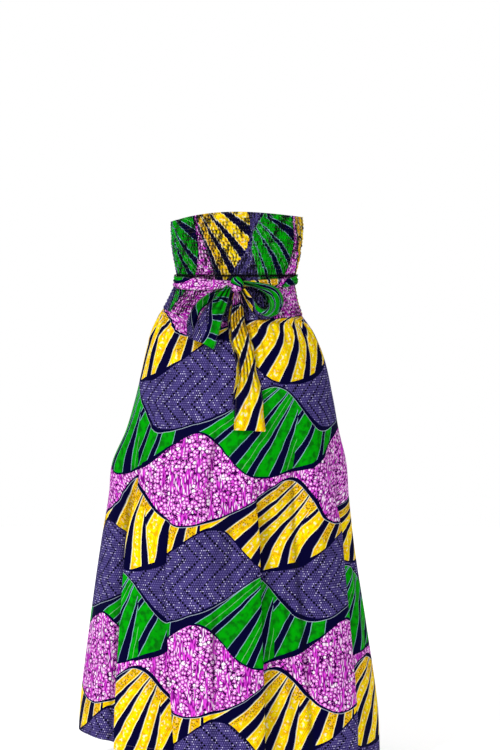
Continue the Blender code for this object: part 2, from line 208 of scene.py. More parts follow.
# Soft creases of the smooth front of the bodice.
BUST_CREASES = table(
    Crease,
    (1330, 1300, 85, 150, 12, -1.8),
    (1372, 1366, 98, 152, 10, 1.8),
    (1420, 1430, 105, 150, 9, -1.6),
    (1476, 1470, 95, 152, 11, 2),
    (1530, 1540, 100, 150, 10, -1.8),
    (1592, 1600, 88, 152, 12, 1.8),
    (1655, 1640, 96, 150, 10, -1.6),
    (1120, 1140, 60, 200, 16, 2),
    (1880, 1860, 50, 190, 16, 2),
    (1250, 1262, 160, 235, 11, 1.8),
    (1405, 1396, 160, 225, 10, -1.6),
    (1560, 1575, 158, 235, 11, 2),
    (1720, 1708, 160, 228, 12, 1.8),
)

# Drag lines of the shirred back, from turn and drop to turn_end and drop_end.
Drag = namedtuple("Drag", "turn turn_end drop drop_end width depth")
DRAGS = table(
    Drag,
    (15, 170, 52, 66, 4, 2.6),
    (10, 215, 82, 86, 3.2, 3),
    (20, 140, 110, 103, 3.6, 2.4),
    (60, 240, 126, 119, 3, 2),
    (240, 400, 74, 88, 3.4, 1.4),
    (300, 430, 108, 99, 3, 1.3),
    (985, 840, 46, 62, 3.8, 2.6),
    (990, 800, 78, 88, 3.4, 2.8),
    (980, 850, 106, 99, 3.2, 2.2),
    (740, 590, 64, 77, 3.6, 1.4),
    (760, 640, 112, 104, 3, 1.6),
    (120, 300, 178, 186, 3.6, 1.8),
    (880, 720, 180, 187, 3.6, 1.8),
)

# Sash stretches round the waist. out is added to the least room between the strip and the plain bodice.
SASH_ROOM = 0.0026
Stretch = namedtuple("Stretch", "turn drop height out")
SASH_LEFT = table(
    Stretch,
    (-40, 148, 20, 1.8),
    (20, 149, 22, 3.4),
    (120, 153, 25, 3.4),
    (280, 156, 28, 3.4),
    (400, 157, 22, 3.8),
    (480, 155, 12, 6.5),
)
SASH_RIGHT = table(
    Stretch,
    (541, 156, 12, 6.5),
    (620, 155, 18, 4),
    (780, 154, 20, 3.4),
    (900, 150, 20, 3.4),
    (980, 147, 19, 3.4),
    (1040, 147, 18, 1.8),
)
# Lengthwise creases of a strip: place and width go from -1 to 1 across it, and they show between the two
# shares of its length.
Pleat = namedtuple("Pleat", "place place_end width depth start end")
SASH_PLEATS = table(
    Pleat,
    (-550, -350, 200, 1.4, 0, 600),
    (-200, -300, 160, -1.4, 150, 1000),
    (100, 200, 180, 1.6, 0, 1000),
    (550, 400, 170, -1.3, 100, 800),
    (750, 600, 140, 1.2, 400, 1000),
)

# Bow. x is across, drop is down, out is from the plain back, and the line across the strip leans away from
# straight out by lean and is tipped from level by tip.
Station = namedtuple("Station", "x drop out width lean tip")
LOOP_LEFT = table(
    Station,
    (16, 160, 22, 11, 82, 28),
    (28, 181, 28, 28, 84, 26),
    (47, 215, 36, 44, 84, 24),
    (60, 246, 35, 53, 84, 24),
    (68, 270, 31, 55, 84, 24),
    (73, 281, 24, 55, 84, 24),
    (80, 272, 18, 54, 84, 26),
    (82, 246, 16.5, 52, 84, 28),
    (69, 210, 16.5, 44, 84, 30),
    (44, 181, 16, 28, 84, 30),
    (17, 167, 15, 10, 82, 30),
)
LOOP_RIGHT = table(
    Station,
    (-14.8, 168, 18, 10, 60, 130),
    (-28, 190, 20, 22, 52, 130),
    (-42, 210, 24, 30, 44, 110),
    (-61, 220, 25, 32, 42, 80),
    (-79, 213, 24, 37, 46, 40),
    (-87, 194, 23, 41, 50, 0),
    (-80, 175, 21, 37, 46, -40),
    (-61, 163, 20, 28, 40, -80),
    (-36, 156, 19, 18, 40, -100),
    (-16, 153, 18, 9, 50, -110),
)
TAIL_LONG = table(
    Station,
    (-2, 173.5, 19, 14, 88, 0),
    (-3, 200, 17, 24, 88, 0),
    (-3, 232, 15, 32, 88, 2),
    (-8.5, 262, 13.5, 39, 88, 4),
    (-15, 287, 13, 46, 88, 6),
    (-23, 312, 12.5, 37, 86, 4),
    (-25.5, 342, 12, 37, 84, -2),
    (-27.5, 371, 12, 50, 84, -6),
    (-27.5, 397, 12, 60, 86, -4),
    (-27.5, 426, 12, 62, 88, 2),
    (-29.5, 466, 12, 68, 88, 3),
)
TAIL_SHORT = table(
    Station,
    (1, 177, 13, 12, 88, 0),
    (2.5, 200, 10.5, 22, 88, 0),
    (3.5, 232, 8.5, 30, 88, 2),
    (-3, 270, 6.5, 36, 88, 6),
    (-13, 306, 6, 36, 88, 6),
    (-18.5, 342, 5.5, 36, 88, 0),
    (-17, 380, 5.5, 44, 88, -4),
    (-15, 420, 5.5, 50, 88, -2),
)
LOOP_PLEATS = table(
    Pleat,
    (-600, -500, 160, 2.7, 0, 550),
    (-150, -50, 140, -2.7, 0, 400),
    (300, 450, 160, 3.1, 0, 500),
    (700, 600, 130, -2, 50, 350),
    (-400, -600, 160, 2.4, 550, 1000),
    (100, -100, 150, -2.6, 600, 1000),
    (550, 400, 150, 2.7, 500, 1000),
)
TAIL_PLEATS = table(
    Pleat,
    (-700, -600, 150, -1.9, 0, 500),
    (-300, -450, 130, 2.6, 0, 750),
    (50, 0, 120, -2.4, 0, 600),
    (400, 550, 140, 2.6, 50, 900),
    (750, 800, 120, -1.7, 0, 450),
    (200, 250, 220, -1.9, 600, 1000),
)

# Sewing. Rows are counted in the rows or columns of the cloth's grid, and gaps are shares of a stitch.
THREAD_ROOM, THREAD_FLATNESS = 0.0001, 0.6  # how far it lies off the cloth, and its height over its width
EVEN_GAP, SHIRRING_GAP = 0.35, 1.3
SHIRRING_SUNK = 0.00012  # how far the thread of the shirring is pulled into the cloth
TOP_EDGE_ROWS, SASH_HEM_ROWS, STRIP_HEM_ROWS = (0.9, 3.4), (3, 33), (2, 42)
HEM_TURN_UP, HEM_COLUMN = 0.014, 150  # height of its stitches above the edge, measured at this column

FOLD_SHADE, FOLD_SHADE_DEPTH = 0.6, 0.0035  # how dark the painted shade in the skirt's folds gets, and the depth at which it is darkest
SASH_TOP, SASH_MIDDLE = 0.1385, 0.153  # drops of the shadow just above the sash, and of the cloth under it
SASH_SHADOW, SASH_HALF = 0.0042, 0.016  # half heights of these
BOW_SHADE, BOW_SHADE_WIDTH, BOW_SHADE_HEIGHT = 0.182, 0.042, 0.026  # the cloth that the bow shades
KNOT_PLACE = (-0.001, 0.0170, 0.157)  # x, out and drop of its middle
KNOT_RADII, KNOT_COLUMNS, KNOT_ROWS = (0.0150, 0.0125, 0.0175), 96, 60
KNOT_CUT = (0.020, 0.030)  # flat cloth for a radian round the knot, and for its half height
SASH_CUT, STRIP_CUT = 0.045, 0.070  # flat widths that show on the sash and on the bow

# Where on the printed cloth a piece is cut: the place of its own zero, its turn in degrees, and how much
# cloth lies in each metre along the piece, which is below 0 where the cloth's other side shows.
Cut = namedtuple("Cut", "across down turned gathered")
CUTS = {
    "bodice_back": Cut(-0.012, 0.30, 90, 2.1),
    "bodice_front": Cut(0.18, 0.12, 90, 1.0),
    "skirt_back": Cut(-0.16, -0.02, 0, 1.0),
    "skirt_front": Cut(0.06, 0.08, 0, 1.0),
    "sash_left": Cut(0.04, 0.125, 0, 1.0),
    "sash_right": Cut(-0.061, 0.129, 230, 1.0),
    "loop_left": Cut(0.080, 0.050, 190, -1.0),
    "loop_right": Cut(0.338, 0.415, 93, 1.0),
    "tail_long": Cut(0.355, 0.235, 70, 0.62),
    "tail_short": Cut(0.00, 0.25, 70, 0.70),
    "knot": Cut(0.091, 0.097, 180, 1.0),
}

# ---------------------------------------------------------------- curves through the tables


def smooth(known, values, at):
    """A cubic curve through (known, values), with slopes taken from the neighbouring rows."""
    known, values = np.asarray(known, float), np.asarray(values, float)
    slopes = np.gradient(values, known)
    at = np.clip(at, known[0], known[-1])
    i = np.clip(np.searchsorted(known, at) - 1, 0, len(known) - 2)
    span = known[i + 1] - known[i]
    t = (at - known[i]) / span
    rise, bend = t * t * (3 - 2 * t), t * (1 - t)
    start, end = bend * (1 - t) * slopes[i], bend * t * slopes[i + 1]
    return values[i] * (1 - rise) + values[i + 1] * rise + span * (start - end)


def column(rows, name, at, key="drop"):
    """One named column of a table, read at the given places along another column."""
    return smooth([getattr(r, key) for r in rows], [getattr(r, name) for r in rows], at)


def along(rows, count):
    """The columns of a table read at count even steps along it, as one named row of arrays."""
    at = np.linspace(0, len(rows) - 1, count)
    whole = np.arange(len(rows))
    return type(rows[0])(*(smooth(whole, values, at) for values in zip(*rows)))


def ease(t):
    """0 below 0, 1 above 1, and a smooth step between."""
    t = np.clip(t, 0, 1)
    return t * t * (3 - 2 * t)


def bell(t):
    """1 at 0, falling to 0 on both sides."""
    return np.exp(-(t**2))


def unit(vectors):
    """The same directions, one metre long."""
    return vectors / np.linalg.norm(vectors, axis=-1, keepdims=True)


def wander(seed, where, reach=1.0, pitch=1.0):
    """An uneven value from -reach to reach: random numbers one pitch apart, joined by smooth steps."""
    draws = np.random.default_rng(seed).uniform(-reach, reach, 600)
    at = np.clip(np.asarray(where, float) / pitch + 200, 0, 598)
    i = at.astype(int)
    return draws[i] + (draws[i + 1] - draws[i]) * ease(at - i)


# ---------------------------------------------------------------- form of the garment


def ring(turn, drop):
    """Points of the plain form, an oval made a little fuller, with the level directions outwards and along
    the ring."""
    angle = np.pi * turn
    half_width = column(SECTIONS, "half_width", drop)
    behind = np.sin(angle) >= 0
    depth = np.where(behind, column(SECTIONS, "behind", drop), column(SECTIONS, "front", drop))
    cos, sin = np.cos(angle), np.sin(angle)
    x = column(SECTIONS, "shift", drop) + half_width * cos
    y = depth * sin * (1 + OVAL_FULLNESS * cos**2)
    outwards = unit(np.stack([depth * cos, half_width * sin], -1))
    forwards = np.stack([-outwards[..., 1], outwards[..., 0]], -1)
    return np.stack([x, y], -1), outwards, forwards


def at_drop(level, drop):
    """Points in space from points on the level and their drops."""
    return np.concatenate([level, -drop[..., None]], -1)


def fold_line(fold, drop):
    """The turn at which a fold lies at a drop."""
    share = np.clip((drop - fold.start) / (HEM_MIDDLE - fold.start), 0, 1)
    return fold.place_top + (fold.place_hem - fold.place_top) * share


def creased(turn, drop, creases):
    """How far the small creases lift the cloth: each is a bell across its line, fading at both ends. One
    that starts at the waist seam rises at once."""
    lift = np.zeros(turn.shape)
    for crease in creases:
        share = (drop - crease.start) / (crease.end - crease.start)
        line = crease.turn + (crease.turn_low - crease.turn) * np.clip(share, 0, 1)
        rise = ease(share / 0.22) if crease.start > SEAM_MIDDLE + 0.02 else ease((share + 0.02) / 0.10)
        fall = 1 - ease((share - 0.25) / 0.75) if crease.end < HEM_MIDDLE else 1.0
        widen = crease.width * (0.8 + 0.5 * np.clip(share, 0, 1))
        lift += crease.depth * rise * fall * bell((turn - line) / widen)
    return lift * bpy.context.scene.dress_sizes.crease_scale


def from_seam(turn):
    """Turns to the nearest side seam."""
    return np.minimum(turn % 1, 1 - turn % 1)


def pinched(turn, from_waist):
    """How far the cloth turns in beside the side seams and the waist seam."""
    return SEAM_PINCH * (bell(from_seam(turn) / SIDE_PINCH_TURNS) + bell(from_waist / SEAM_PINCH_LENGTH))


def folded(turn, drop, folds, creases, seed):
    """The skirt's middle surface: the plain form with its folds, waist gathers and small creases."""
    turn, drop = np.broadcast_arrays(turn, drop)
    place, outwards, forwards = ring(turn, drop)
    slide, lift = np.zeros(turn.shape), np.zeros(turn.shape)
    for fold in folds:
        u = (turn - fold_line(fold, drop)) / fold.width
        grown = ease((drop - fold.start) / fold.grow)
        slide -= grown**LAP_DELAY * fold.lap * np.sin(np.pi * u) * bell(u)
        lift += grown * (fold.step * u * np.exp(-(u**2) / 2) - fold.valley * bell(u))
    below = np.maximum(0, drop - waist_seam(turn))
    fade = ease(from_seam(turn) / SIDE_FADE)
    lift = (lift + gathers(turn, below, seed) + creased(turn, drop, creases)) * fade - pinched(turn, below)
    return at_drop(place + forwards * (slide * fade)[..., None] + outwards * lift[..., None], drop)


def gathers(turn, below, seed):
    """Waist gathers: uneven waves round the skirt, deepest just under the seam, some running on for longer.
    A second wave, finer and lower, breaks up the first."""
    sizes = bpy.context.scene.dress_sizes
    phase = wander(seed, turn, reach=0.9, pitch=0.045)
    length = GATHER_LENGTH + wander(seed + 1, turn, reach=0.020, pitch=0.020)
    size = sizes.gather_depth * (1 + wander(seed + 2, turn, reach=0.45, pitch=0.016))
    passed = sizes.waist_gathers * turn
    wave = np.cos(2 * np.pi * (passed + phase)) + 0.35 * np.cos(2 * np.pi * (1.7 * passed - phase))
    return size * wave * (1 - np.exp(-below / GATHER_RISE)) * np.exp(-below / length)


def hem_turns(first, columns, make):
    """Turns over half of the hem, evenly spaced along its cloth and closer where the cloth bends."""
    fine = np.linspace(first, first + 1, HEM_POINTS)
    steps = np.diff(make(fine, hem(fine)), axis=0)
    size = np.linalg.norm(steps, axis=1)
    bend = np.linalg.norm(np.diff(steps / size[:, None], axis=0), axis=1)
    weight = size + BEND_LENGTH * np.append(bend, 0)
    reached = np.concatenate([[0], np.cumsum(weight)])
    return np.interp(np.linspace(0, reached[-1], columns + 1), reached, fine)


def row_turns(turns, drop, folds):
    """The hem's turns moved sideways, so that a column keeps its place beside the folds at another drop."""
    at_hem = [turns[0], *(fold.place_hem for fold in folds), turns[-1]]
    higher = [turns[0], *(fold_line(fold, drop) for fold in folds), turns[-1]]
    return np.interp(turns, at_hem, higher)


def top_edge(turn):
    """The drop of the top edge: level at centre back and centre front, and dipping at the sides."""
    cos = np.cos(np.pi * turn)
    return (TOP_DIP + TOP_TILT * cos) * cos**2


def waist_seam(turn):
    """The drop of the seam between bodice and skirt, which rises towards the side seams."""
    cos = np.cos(np.pi * turn)
    return SEAM_MIDDLE - (SEAM_RISE + SEAM_TILT * cos) * cos**2


def hem(turn):
    """The drop of the hem, which hangs lower at the right side."""
    return HEM_MIDDLE - HEM_LIFT * np.cos(np.pi * turn)


def facing(grid):
    """Unit normals of a grid of points, pointing outwards when its columns run along the turn."""
    return unit(np.cross(np.gradient(grid, axis=0), np.gradient(grid, axis=1)))


def back_y(x, drop):
    """How far behind the origin the plain back is, at that x and drop."""
    half_width, shift = column(SECTIONS, "half_width", drop), column(SECTIONS, "shift", drop)
    cos = np.clip((x - shift) / half_width, -1, 1)
    return column(SECTIONS, "behind", drop) * np.sqrt(1 - cos**2) * (1 + OVAL_FULLNESS * cos**2)


def side_gap(grid):
    """The grid with its first and last column drawn back from the side seams by half the seam gap."""
    grid = grid.copy()
    for j, sign in ((0, 1), (-1, -1)):
        grid[:, j] += unit(grid[:, j + sign] - grid[:, j]) * SEAM_GAP
    return grid


# ---------------------------------------------------------------- cloth grids


def dragged(turns, drops):
    """How deep the drag lines of the bodice sink it: each is a bell across its line, fading at both ends."""
    depth = np.zeros(drops.shape)
    for drag in DRAGS:
        share = (turns - drag.turn) / (drag.turn_end - drag.turn)
        line = drag.drop + (drag.drop_end - drag.drop) * share
        depth += drag.depth * ease(share / 0.3) * ease((1 - share) / 0.3) * bell((drops - line) / drag.width)
    return depth


def bodice_places(first, columns, rows):
    """Turns, shares down and drops of a grid over half of the bodice, from top edge to waist seam."""
    share = np.linspace(0, 1, rows + 1)[:, None]
    turns = np.linspace(first, first + 1, columns + 1)[None, :] + 0 * share
    top = top_edge(turns)
    return turns, share, top + share * (waist_seam(turns) - SEAM_GAP / 2 - top)


def bodice_back_grid(sizes):
    """The shirred back. Rows of small puffs lie between elastic threads, and each puff is a wave round the
    ring whose phase shifts from row to row. The first half row above the top thread is a small frill. Also
    gives each point's flat turn, its drop and its painted shade: shade painted between the puffs, and
    painted shadows just above the sash and under the bow. Slow waves that cross make the painted shade
    between the puffs patchy, lighter in some patches than in others."""
    turns, share, drops = bodice_places(first=0, columns=300, rows=140)
    level, _, _ = ring(turns, drops)
    grid = at_drop(level, drops)
    count = 0.5 + share * (sizes.shirred_rows - 0.5)
    row = np.floor(count)
    across = turns * sizes.shirred_gathers
    phase = wander(11, row * 7.3, reach=0.28) + wander(12, across * 0.5 + count * 0.9, reach=0.55, pitch=1.3)
    turned = 2 * np.pi * (across + phase)
    size = 1 + wander(13, across * 0.9 + row * 17.3, reach=0.35)
    pull = 0.58 + wander(16, across * 0.6 + np.round(count) * 23.1, reach=0.42)
    puff = 1 - (1 - np.abs(np.sin(np.pi * count)) ** 0.7) * pull
    under_sash = np.exp(-(((drops - SASH_MIDDLE) / SASH_HALF) ** 4))
    wave = 0.15 + 0.85 * (0.5 + 0.5 * np.cos(turned))
    drag = dragged(turns, drops)
    raised = sizes.puff * puff * size * wave * (1 - 0.55 * under_sash) - drag
    raised = raised + wander(14, turns * 40 + drops * 60, reach=0.0010)
    lift = raised * ease(from_seam(turns) / 0.012) - pinched(turns, waist_seam(turns) - drops)
    # How strong the painted shade between the puffs is, patch by patch.
    uneven = 0.80 + wander(15, across * 0.8 + row * 5.1, reach=0.40)
    for seed, slope in ((17, turns * 13 + drops * 24), (18, turns * 11 - drops * 30)):
        uneven = uneven + wander(seed, slope, reach=0.36)
    # Painted shade between the puffs: darkest where the cloth lies lowest between them.
    filled = np.clip((raised + 0.7 * drag) / (1.15 * sizes.puff), 0, 1)
    between = ease(((1 - filled) ** 1.3 * uneven - 0.15) / 0.70)
    # A painted shadow just above the sash, and a painted shadow on the cloth under the bow.
    shadow_above_sash = 1.2 * bell((drops - SASH_TOP) / SASH_SHADOW)
    aside, under = (level[..., 0] - KNOT_PLACE[0]) / BOW_SHADE_WIDTH, (drops - BOW_SHADE) / BOW_SHADE_HEIGHT
    shadow_under_bow = 0.75 * np.exp(-((aside**2 + under**2) ** 1.5))
    hollow = np.maximum(np.maximum(between, shadow_above_sash), shadow_under_bow)
    flat_turns = turns + 0.30 * np.sin(turned) * puff / sizes.shirred_gathers
    return side_gap(grid + facing(grid) * lift[..., None]), flat_turns, drops, hollow


def bodice_front_grid():
    """The smooth front: the plain form with soft creases above the sash and a faint overall unevenness."""
    turns, _, drops = bodice_places(first=1, columns=200, rows=90)
    level, outwards, _ = ring(turns, drops)
    faint = wander(21, turns * 26 + drops * 30, reach=0.0008) * ease(from_seam(turns) / 0.03)
    lift = creased(turns, drops, BUST_CREASES) + faint - pinched(turns, waist_seam(turns) - drops)
    return side_gap(at_drop(level + outwards * lift[..., None], drops))


def skirt_grid(first, columns, folds, creases, seed):
    """Half of the skirt, from one side seam to the other, in rows from the seam to the hem."""

    def make(turn, drop):
        return folded(turn, drop, folds, creases, seed)

    across = hem_turns(first, columns, make)
    found = []
    for share in np.linspace(0, 1, SKIRT_ROWS + 1) ** ROW_CROWDING:
        turns = row_turns(across, SEAM_MIDDLE + share * (HEM_MIDDLE - SEAM_MIDDLE), folds)
        top = waist_seam(turns) + SEAM_GAP / 2
        found.append(make(turns, top + share * (hem(turns) - top)))
    return side_gap(np.stack(found))


def sunken(grid, reach=4):
    """How deep a sheet lies in its dips, from 0 to 1: how far a point is behind the middle of its two
    neighbours that are reach columns away. The skirt's painted shade in its folds is made from it."""
    middle = (np.roll(grid, reach, 1) + np.roll(grid, -reach, 1)) / 2
    behind = ((middle - grid) * facing(grid)).sum(-1)
    behind[:, :reach] = 0
    behind[:, -reach:] = 0
    return np.clip(behind / FOLD_SHADE_DEPTH, 0, 1)


def pleated(across, share, pleats):
    """How far lengthwise creases lift a strip: each is a bell across its line, fading at both ends."""
    lift = np.zeros(np.broadcast(across, share).shape)
    for pleat in pleats:
        run = np.clip((share - pleat.start) / (pleat.end - pleat.start), 0, 1)
        line = pleat.place + (pleat.place_end - pleat.place) * run
        rise = ease(run / 0.15) if pleat.start > 0 else 1.0
        fall = 1 - ease((run - 0.6) / 0.4) if pleat.end < 1 else 1.0
        lift += pleat.depth * rise * fall * bell((across - line) / pleat.width)
    return lift


def strip_places(columns, rows):
    """Places from -1 to 1 across a strip, and shares along it."""
    return np.linspace(-1, 1, columns + 1)[None, :], np.linspace(0, 1, rows + 1)[:, None]


def sash_grid(rows, seed):
    """A strip round the waist, with uneven lengthwise creases, lying just off the bodice. Its rows run along
    it. Also gives its painted shade: darker along its two edges, more along the upper one, as if they rolled
    in."""
    across, share = strip_places(columns=36, rows=150)
    line = along(rows, len(share))
    edge = wander(seed, share * 22, reach=0.0010) * across
    drops = line.drop[:, None] + across * line.height[:, None] / 2 + edge
    level, outwards, _ = ring(line.turn[:, None] + 0 * across, drops)
    lift = line.out[:, None] + SASH_ROOM + pleated(across, share, SASH_PLEATS)
    lift = lift + wander(seed + 1, share * 40 + across * 3, reach=0.0005)
    grid = at_drop(level + outwards * lift[..., None], drops)
    # Painted shade along the edges of the strip.
    hollow = 0.9 * bell((across + 1) / 0.16) + 0.6 * bell((across - 1) / 0.12)
    return grid.transpose(1, 0, 2), hollow.T


def strip_grid(rows, pleats, bunches, crimp, seed):
    """A strip of the bow: its middle line runs through the stations, its width lies along the line that
    lean and tip give, and its pleats are deepest where it is bunched narrow. Also gives its painted shade:
    dark in the valleys between the bunches where it is bunched narrow, and along its edges."""
    across, share = strip_places(columns=44, rows=130)
    line = along(rows, len(share))
    lean, tip = np.radians(line.lean), np.radians(line.tip)
    middle = np.stack([line.x, back_y(line.x, line.drop) + line.out, -line.drop], -1)
    edge = np.stack([np.sin(lean) * np.cos(tip), np.cos(lean), np.sin(lean) * np.sin(tip)], -1)
    out = unit(np.cross(np.gradient(middle, axis=0), edge))
    bunched = (1 - line.width / (1.3 * line.width.max()))[:, None]
    crimped = crimp * bunched * np.cos(np.pi * bunches * across)
    lift = crimped + pleated(across, share, pleats) * (0.5 + bunched)
    lift = lift + wander(seed, share * 18 + across * 2.3, reach=0.0006)
    grid = middle[:, None] + edge[:, None] * (across * line.width[:, None] / 2)[..., None]
    # Painted shade in the valleys between the bunches and along the edges.
    valleys = 0.5 - 0.5 * np.cos(np.pi * (2 * bunches + 1) * across + 4 * share)
    hollow = np.clip(2.1 * bunched - 0.35, 0, 1.2) * valleys + 0.45 * np.abs(across) ** 8
    return grid + out[:, None] * lift[..., None], hollow


def knot_grid():
    """The wrapped knot: an egg whose radius is pinched by uneven creases running slantwise round it. Also
    gives the slanting angle round it and the height on it, from -1 to 1."""
    up = np.linspace(-np.pi / 2, np.pi / 2, KNOT_ROWS + 1)[:, None]
    around = np.linspace(0, 2 * np.pi, KNOT_COLUMNS + 1)[None, :]
    level, height = np.cos(up), np.sin(up) + 0 * around
    slant = around + 1.2 * height
    crease = 0.5 + 0.5 * np.cos(3 * slant)
    fine = 0.5 + 0.5 * np.cos(7 * slant + 0.8 * np.sin(2 * around))
    shrink = 1 - (0.10 * crease + 0.045 * fine) * (1 - height**2)
    ball = np.stack([level * np.cos(around), level * np.sin(around), height], -1)
    x, out, drop = KNOT_PLACE
    middle = np.array([x, back_y(x, drop) + out, -drop])
    grid = middle + ball * np.array(KNOT_RADII) * shrink[..., None]
    return grid[::-1], slant[::-1], height[::-1]


# ---------------------------------------------------------------- flat cloth of a piece


def run_along(points):
    """Length along each line of points, from 0 at its first."""
    steps = np.linalg.norm(np.diff(points, axis=-2), axis=-1)
    return np.concatenate([np.zeros((*steps.shape[:-1], 1)), np.cumsum(steps, axis=-1)], -1)


def row_lengths(grid):
    """Length along each row of a grid, measured from its middle column."""
    reached = run_along(grid)
    return reached - reached[:, [(grid.shape[1] - 1) // 2]]


def on_print(across, down, cut):
    """UVs of flat cloth points, turned and set down on the printed cloth where the piece is cut."""
    across, turned = across * cut.gathered, np.radians(cut.turned)
    u = cut.across + across * np.cos(turned) - down * np.sin(turned)
    v = cut.down + across * np.sin(turned) + down * np.cos(turned)
    return np.stack(np.broadcast_arrays(u, v), -1)


def surface(grid):
    """Area of a grid of points."""
    down, across = np.diff(grid, axis=0)[:, :-1], np.diff(grid, axis=1)[:-1]
    return float(np.linalg.norm(np.cross(down, across), axis=-1).sum())


def flat_size(grid):
    """Mean width and length of a strip whose rows run along it."""
    long = float(run_along(grid)[:, -1].mean())
    return surface(grid) / long, long


# ---------------------------------------------------------------- meshes


def quads(rows, columns):
    """Corner numbers of the faces of a grid, in the order that makes them face outwards."""
    index = np.arange(rows * columns).reshape(rows, columns)
    corners = [index[:-1, :-1], index[1:, :-1], index[1:, 1:], index[:-1, 1:]]
    return np.stack(corners, -1).reshape(-1, 4)


def mesh_object(name, points, faces, material):
    """A smooth-shaded object from arrays of points and of faces."""
    mesh = bpy.data.meshes.new(name)
    mesh.from_pydata(points.tolist(), [], faces.tolist())
    mesh.shade_smooth()
    mesh.materials.append(material)
    made = bpy.data.objects.new(name, mesh)
    bpy.context.scene.collection.objects.link(made)
    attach(made, "root")
    return made


def printed(node, grid, across, down):
    """A piece in printed cotton on a grid of points, whose places across and down its flat cloth give UVs."""
    faces = quads(*grid.shape[:2])
    made = mesh_object("cloth_" + node, grid.reshape(-1, 3), faces, wax_material())
    places = on_print(across, down, CUTS[node]).reshape(-1, 2)
    layer = made.data.uv_layers.new(name="cloth")
    layer.data.foreach_set("uv", places[faces.ravel()].ravel())
    return made


def stands_for(node, slot):
    """Hide a node's part, so that a piece made elsewhere stands in its place. slot is not used."""
    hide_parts(node)


def cloth(node, grid, across, down, slot, hollow=0.0):
    """A printed sheet, to which Solidify gives its wall. The last argument is each point's painted shade,
    from 0 to 1: how far its colour is darkened in a crease or in a shadow."""
    made = printed(node, grid, across, down)
    # The painted shade is kept as a point attribute, which the print's shader reads.
    shade = made.data.attributes.new("hollow", "FLOAT", "POINT")
    shade.data.foreach_set("value", np.broadcast_to(hollow, grid.shape[:2]).ravel())
    wall = made.modifiers.new("wall", "SOLIDIFY")
    wall.thickness = bpy.context.scene.dress_sizes.cloth_thickness
    wall.offset = 0
    stands_for(node, slot)
    return made


def closed(made):
    """Merge the points of an object's seam and poles."""
    body = bmesh.new()
    body.from_mesh(made.data)
    bmesh.ops.remove_doubles(body, verts=body.verts, dist=1e-6)
    body.to_mesh(made.data)
    body.free()


def stitches(lines, size, gap):
    """Points and faces of small flat boxes end to end along lines of points, each lying on its line's outward
    normals. A line is a pair of arrays, points and normals."""
    corners = np.array([(a, b, c) for a in (-0.5, 0.5) for b in (-0.5, 0.5) for c in (-0.5, 0.5)])
    sides = np.array([(0, 1, 3, 2), (4, 6, 7, 5), (0, 4, 5, 1), (2, 3, 7, 6), (0, 2, 6, 4), (1, 5, 7, 3)])
    length = size[0]
    blocks = []
    for points, normals in lines:
        reached = run_along(points)
        middles = np.arange(length, reached[-1] - length, length + gap)
        read = ((middles - length / 2, points), (middles + length / 2, points), (middles, normals))
        start, end, out = (
            np.stack([np.interp(at, reached, values[:, k]) for k in range(3)], -1) for at, values in read
        )
        forwards = unit(end - start)
        aside = unit(np.cross(forwards, out))
        turn = np.stack([forwards, aside, np.cross(aside, forwards)], 1) * np.array(size)[None, :, None]
        blocks.append((start + end)[:, None] / 2 + np.einsum("kc,ncd->nkd", corners, turn))
    points = np.concatenate(blocks).reshape(-1, 3)
    faces = (np.arange(len(points) // 8)[:, None, None] * 8 + sides[None]).reshape(-1, 4)
    return points, faces


def seam_line(grid, row, lift):
    """Points and outward normals along a row of a grid, which may lie between two rows, raised by lift."""
    above = int(min(row, len(grid) - 2))
    share = row - above
    normals = facing(grid[above : above + 2])
    normals = normals[0] * (1 - share) + normals[1] * share
    points = grid[above] * (1 - share) + grid[above + 1] * share
    return points + normals * lift, normals


def sewn(name, grid, rows, slot, sunk=0.0, gap=EVEN_GAP, sides=(1,)):
    """Stitches in the dress's thread along rows of a cloth. gap is a share of a stitch, sunk how far the
    thread is pulled in, and sides are 1 for the cloth's outside and -1 for its inside."""
    sizes = bpy.context.scene.dress_sizes
    lift = sizes.cloth_thickness / 2 + THREAD_ROOM - sunk
    lines = [seam_line(grid, row, side * lift) for row in rows for side in sides]
    size = (sizes.stitch, sizes.thread_width, sizes.thread_width * THREAD_FLATNESS)
    made = mesh_object("sewing_" + name, *stitches(lines, size, gap * sizes.stitch), thread_material())
    return made


# ---------------------------------------------------------------- shader expressions


class Number:
    """A socket that holds a number. Python's operators on it, and the methods here, add Math nodes."""

    def __init__(self, maker, socket):
        self.maker, self.socket = maker, socket

    def math(self, operation, *others):
        """A Math node in which this number comes first."""
        return self.maker.math(operation, self, *others)

    def second(self, operation, first):
        """A Math node in which this number comes second."""
        return self.maker.math(operation, first, self)

    __add__, __radd__ = partialmethod(math, "ADD"), partialmethod(second, "ADD")
    __sub__, __rsub__ = partialmethod(math, "SUBTRACT"), partialmethod(second, "SUBTRACT")
    __mul__, __rmul__ = partialmethod(math, "MULTIPLY"), partialmethod(second, "MULTIPLY")
    __truediv__, __rtruediv__ = partialmethod(math, "DIVIDE"), partialmethod(second, "DIVIDE")
    __pow__ = partialmethod(math, "POWER")
    __lt__, __gt__ = partialmethod(math, "LESS_THAN"), partialmethod(math, "GREATER_THAN")
    sin, root = partialmethod(math, "SINE"), partialmethod(math, "SQRT")
    floor, fract = partialmethod(math, "FLOOR"), partialmethod(math, "FRACT")
    least, most = partialmethod(math, "MINIMUM"), partialmethod(math, "MAXIMUM")
    size = partialmethod(math, "ABSOLUTE")

    def near(self, place, reach):
        """1 within reach of a place, otherwise 0."""
        return (self - place).size() < reach

    def step(self, low, high):
        """0 below low, 1 above high, and a smooth step between. With low above high it falls instead."""
        inputs = {"Value": self, "From Min": low, "From Max": high}
        found = self.maker.node("ShaderNodeMapRange", {"interpolation_type": "SMOOTHSTEP"}, inputs)
        return Number(self.maker, found.outputs["Result"])


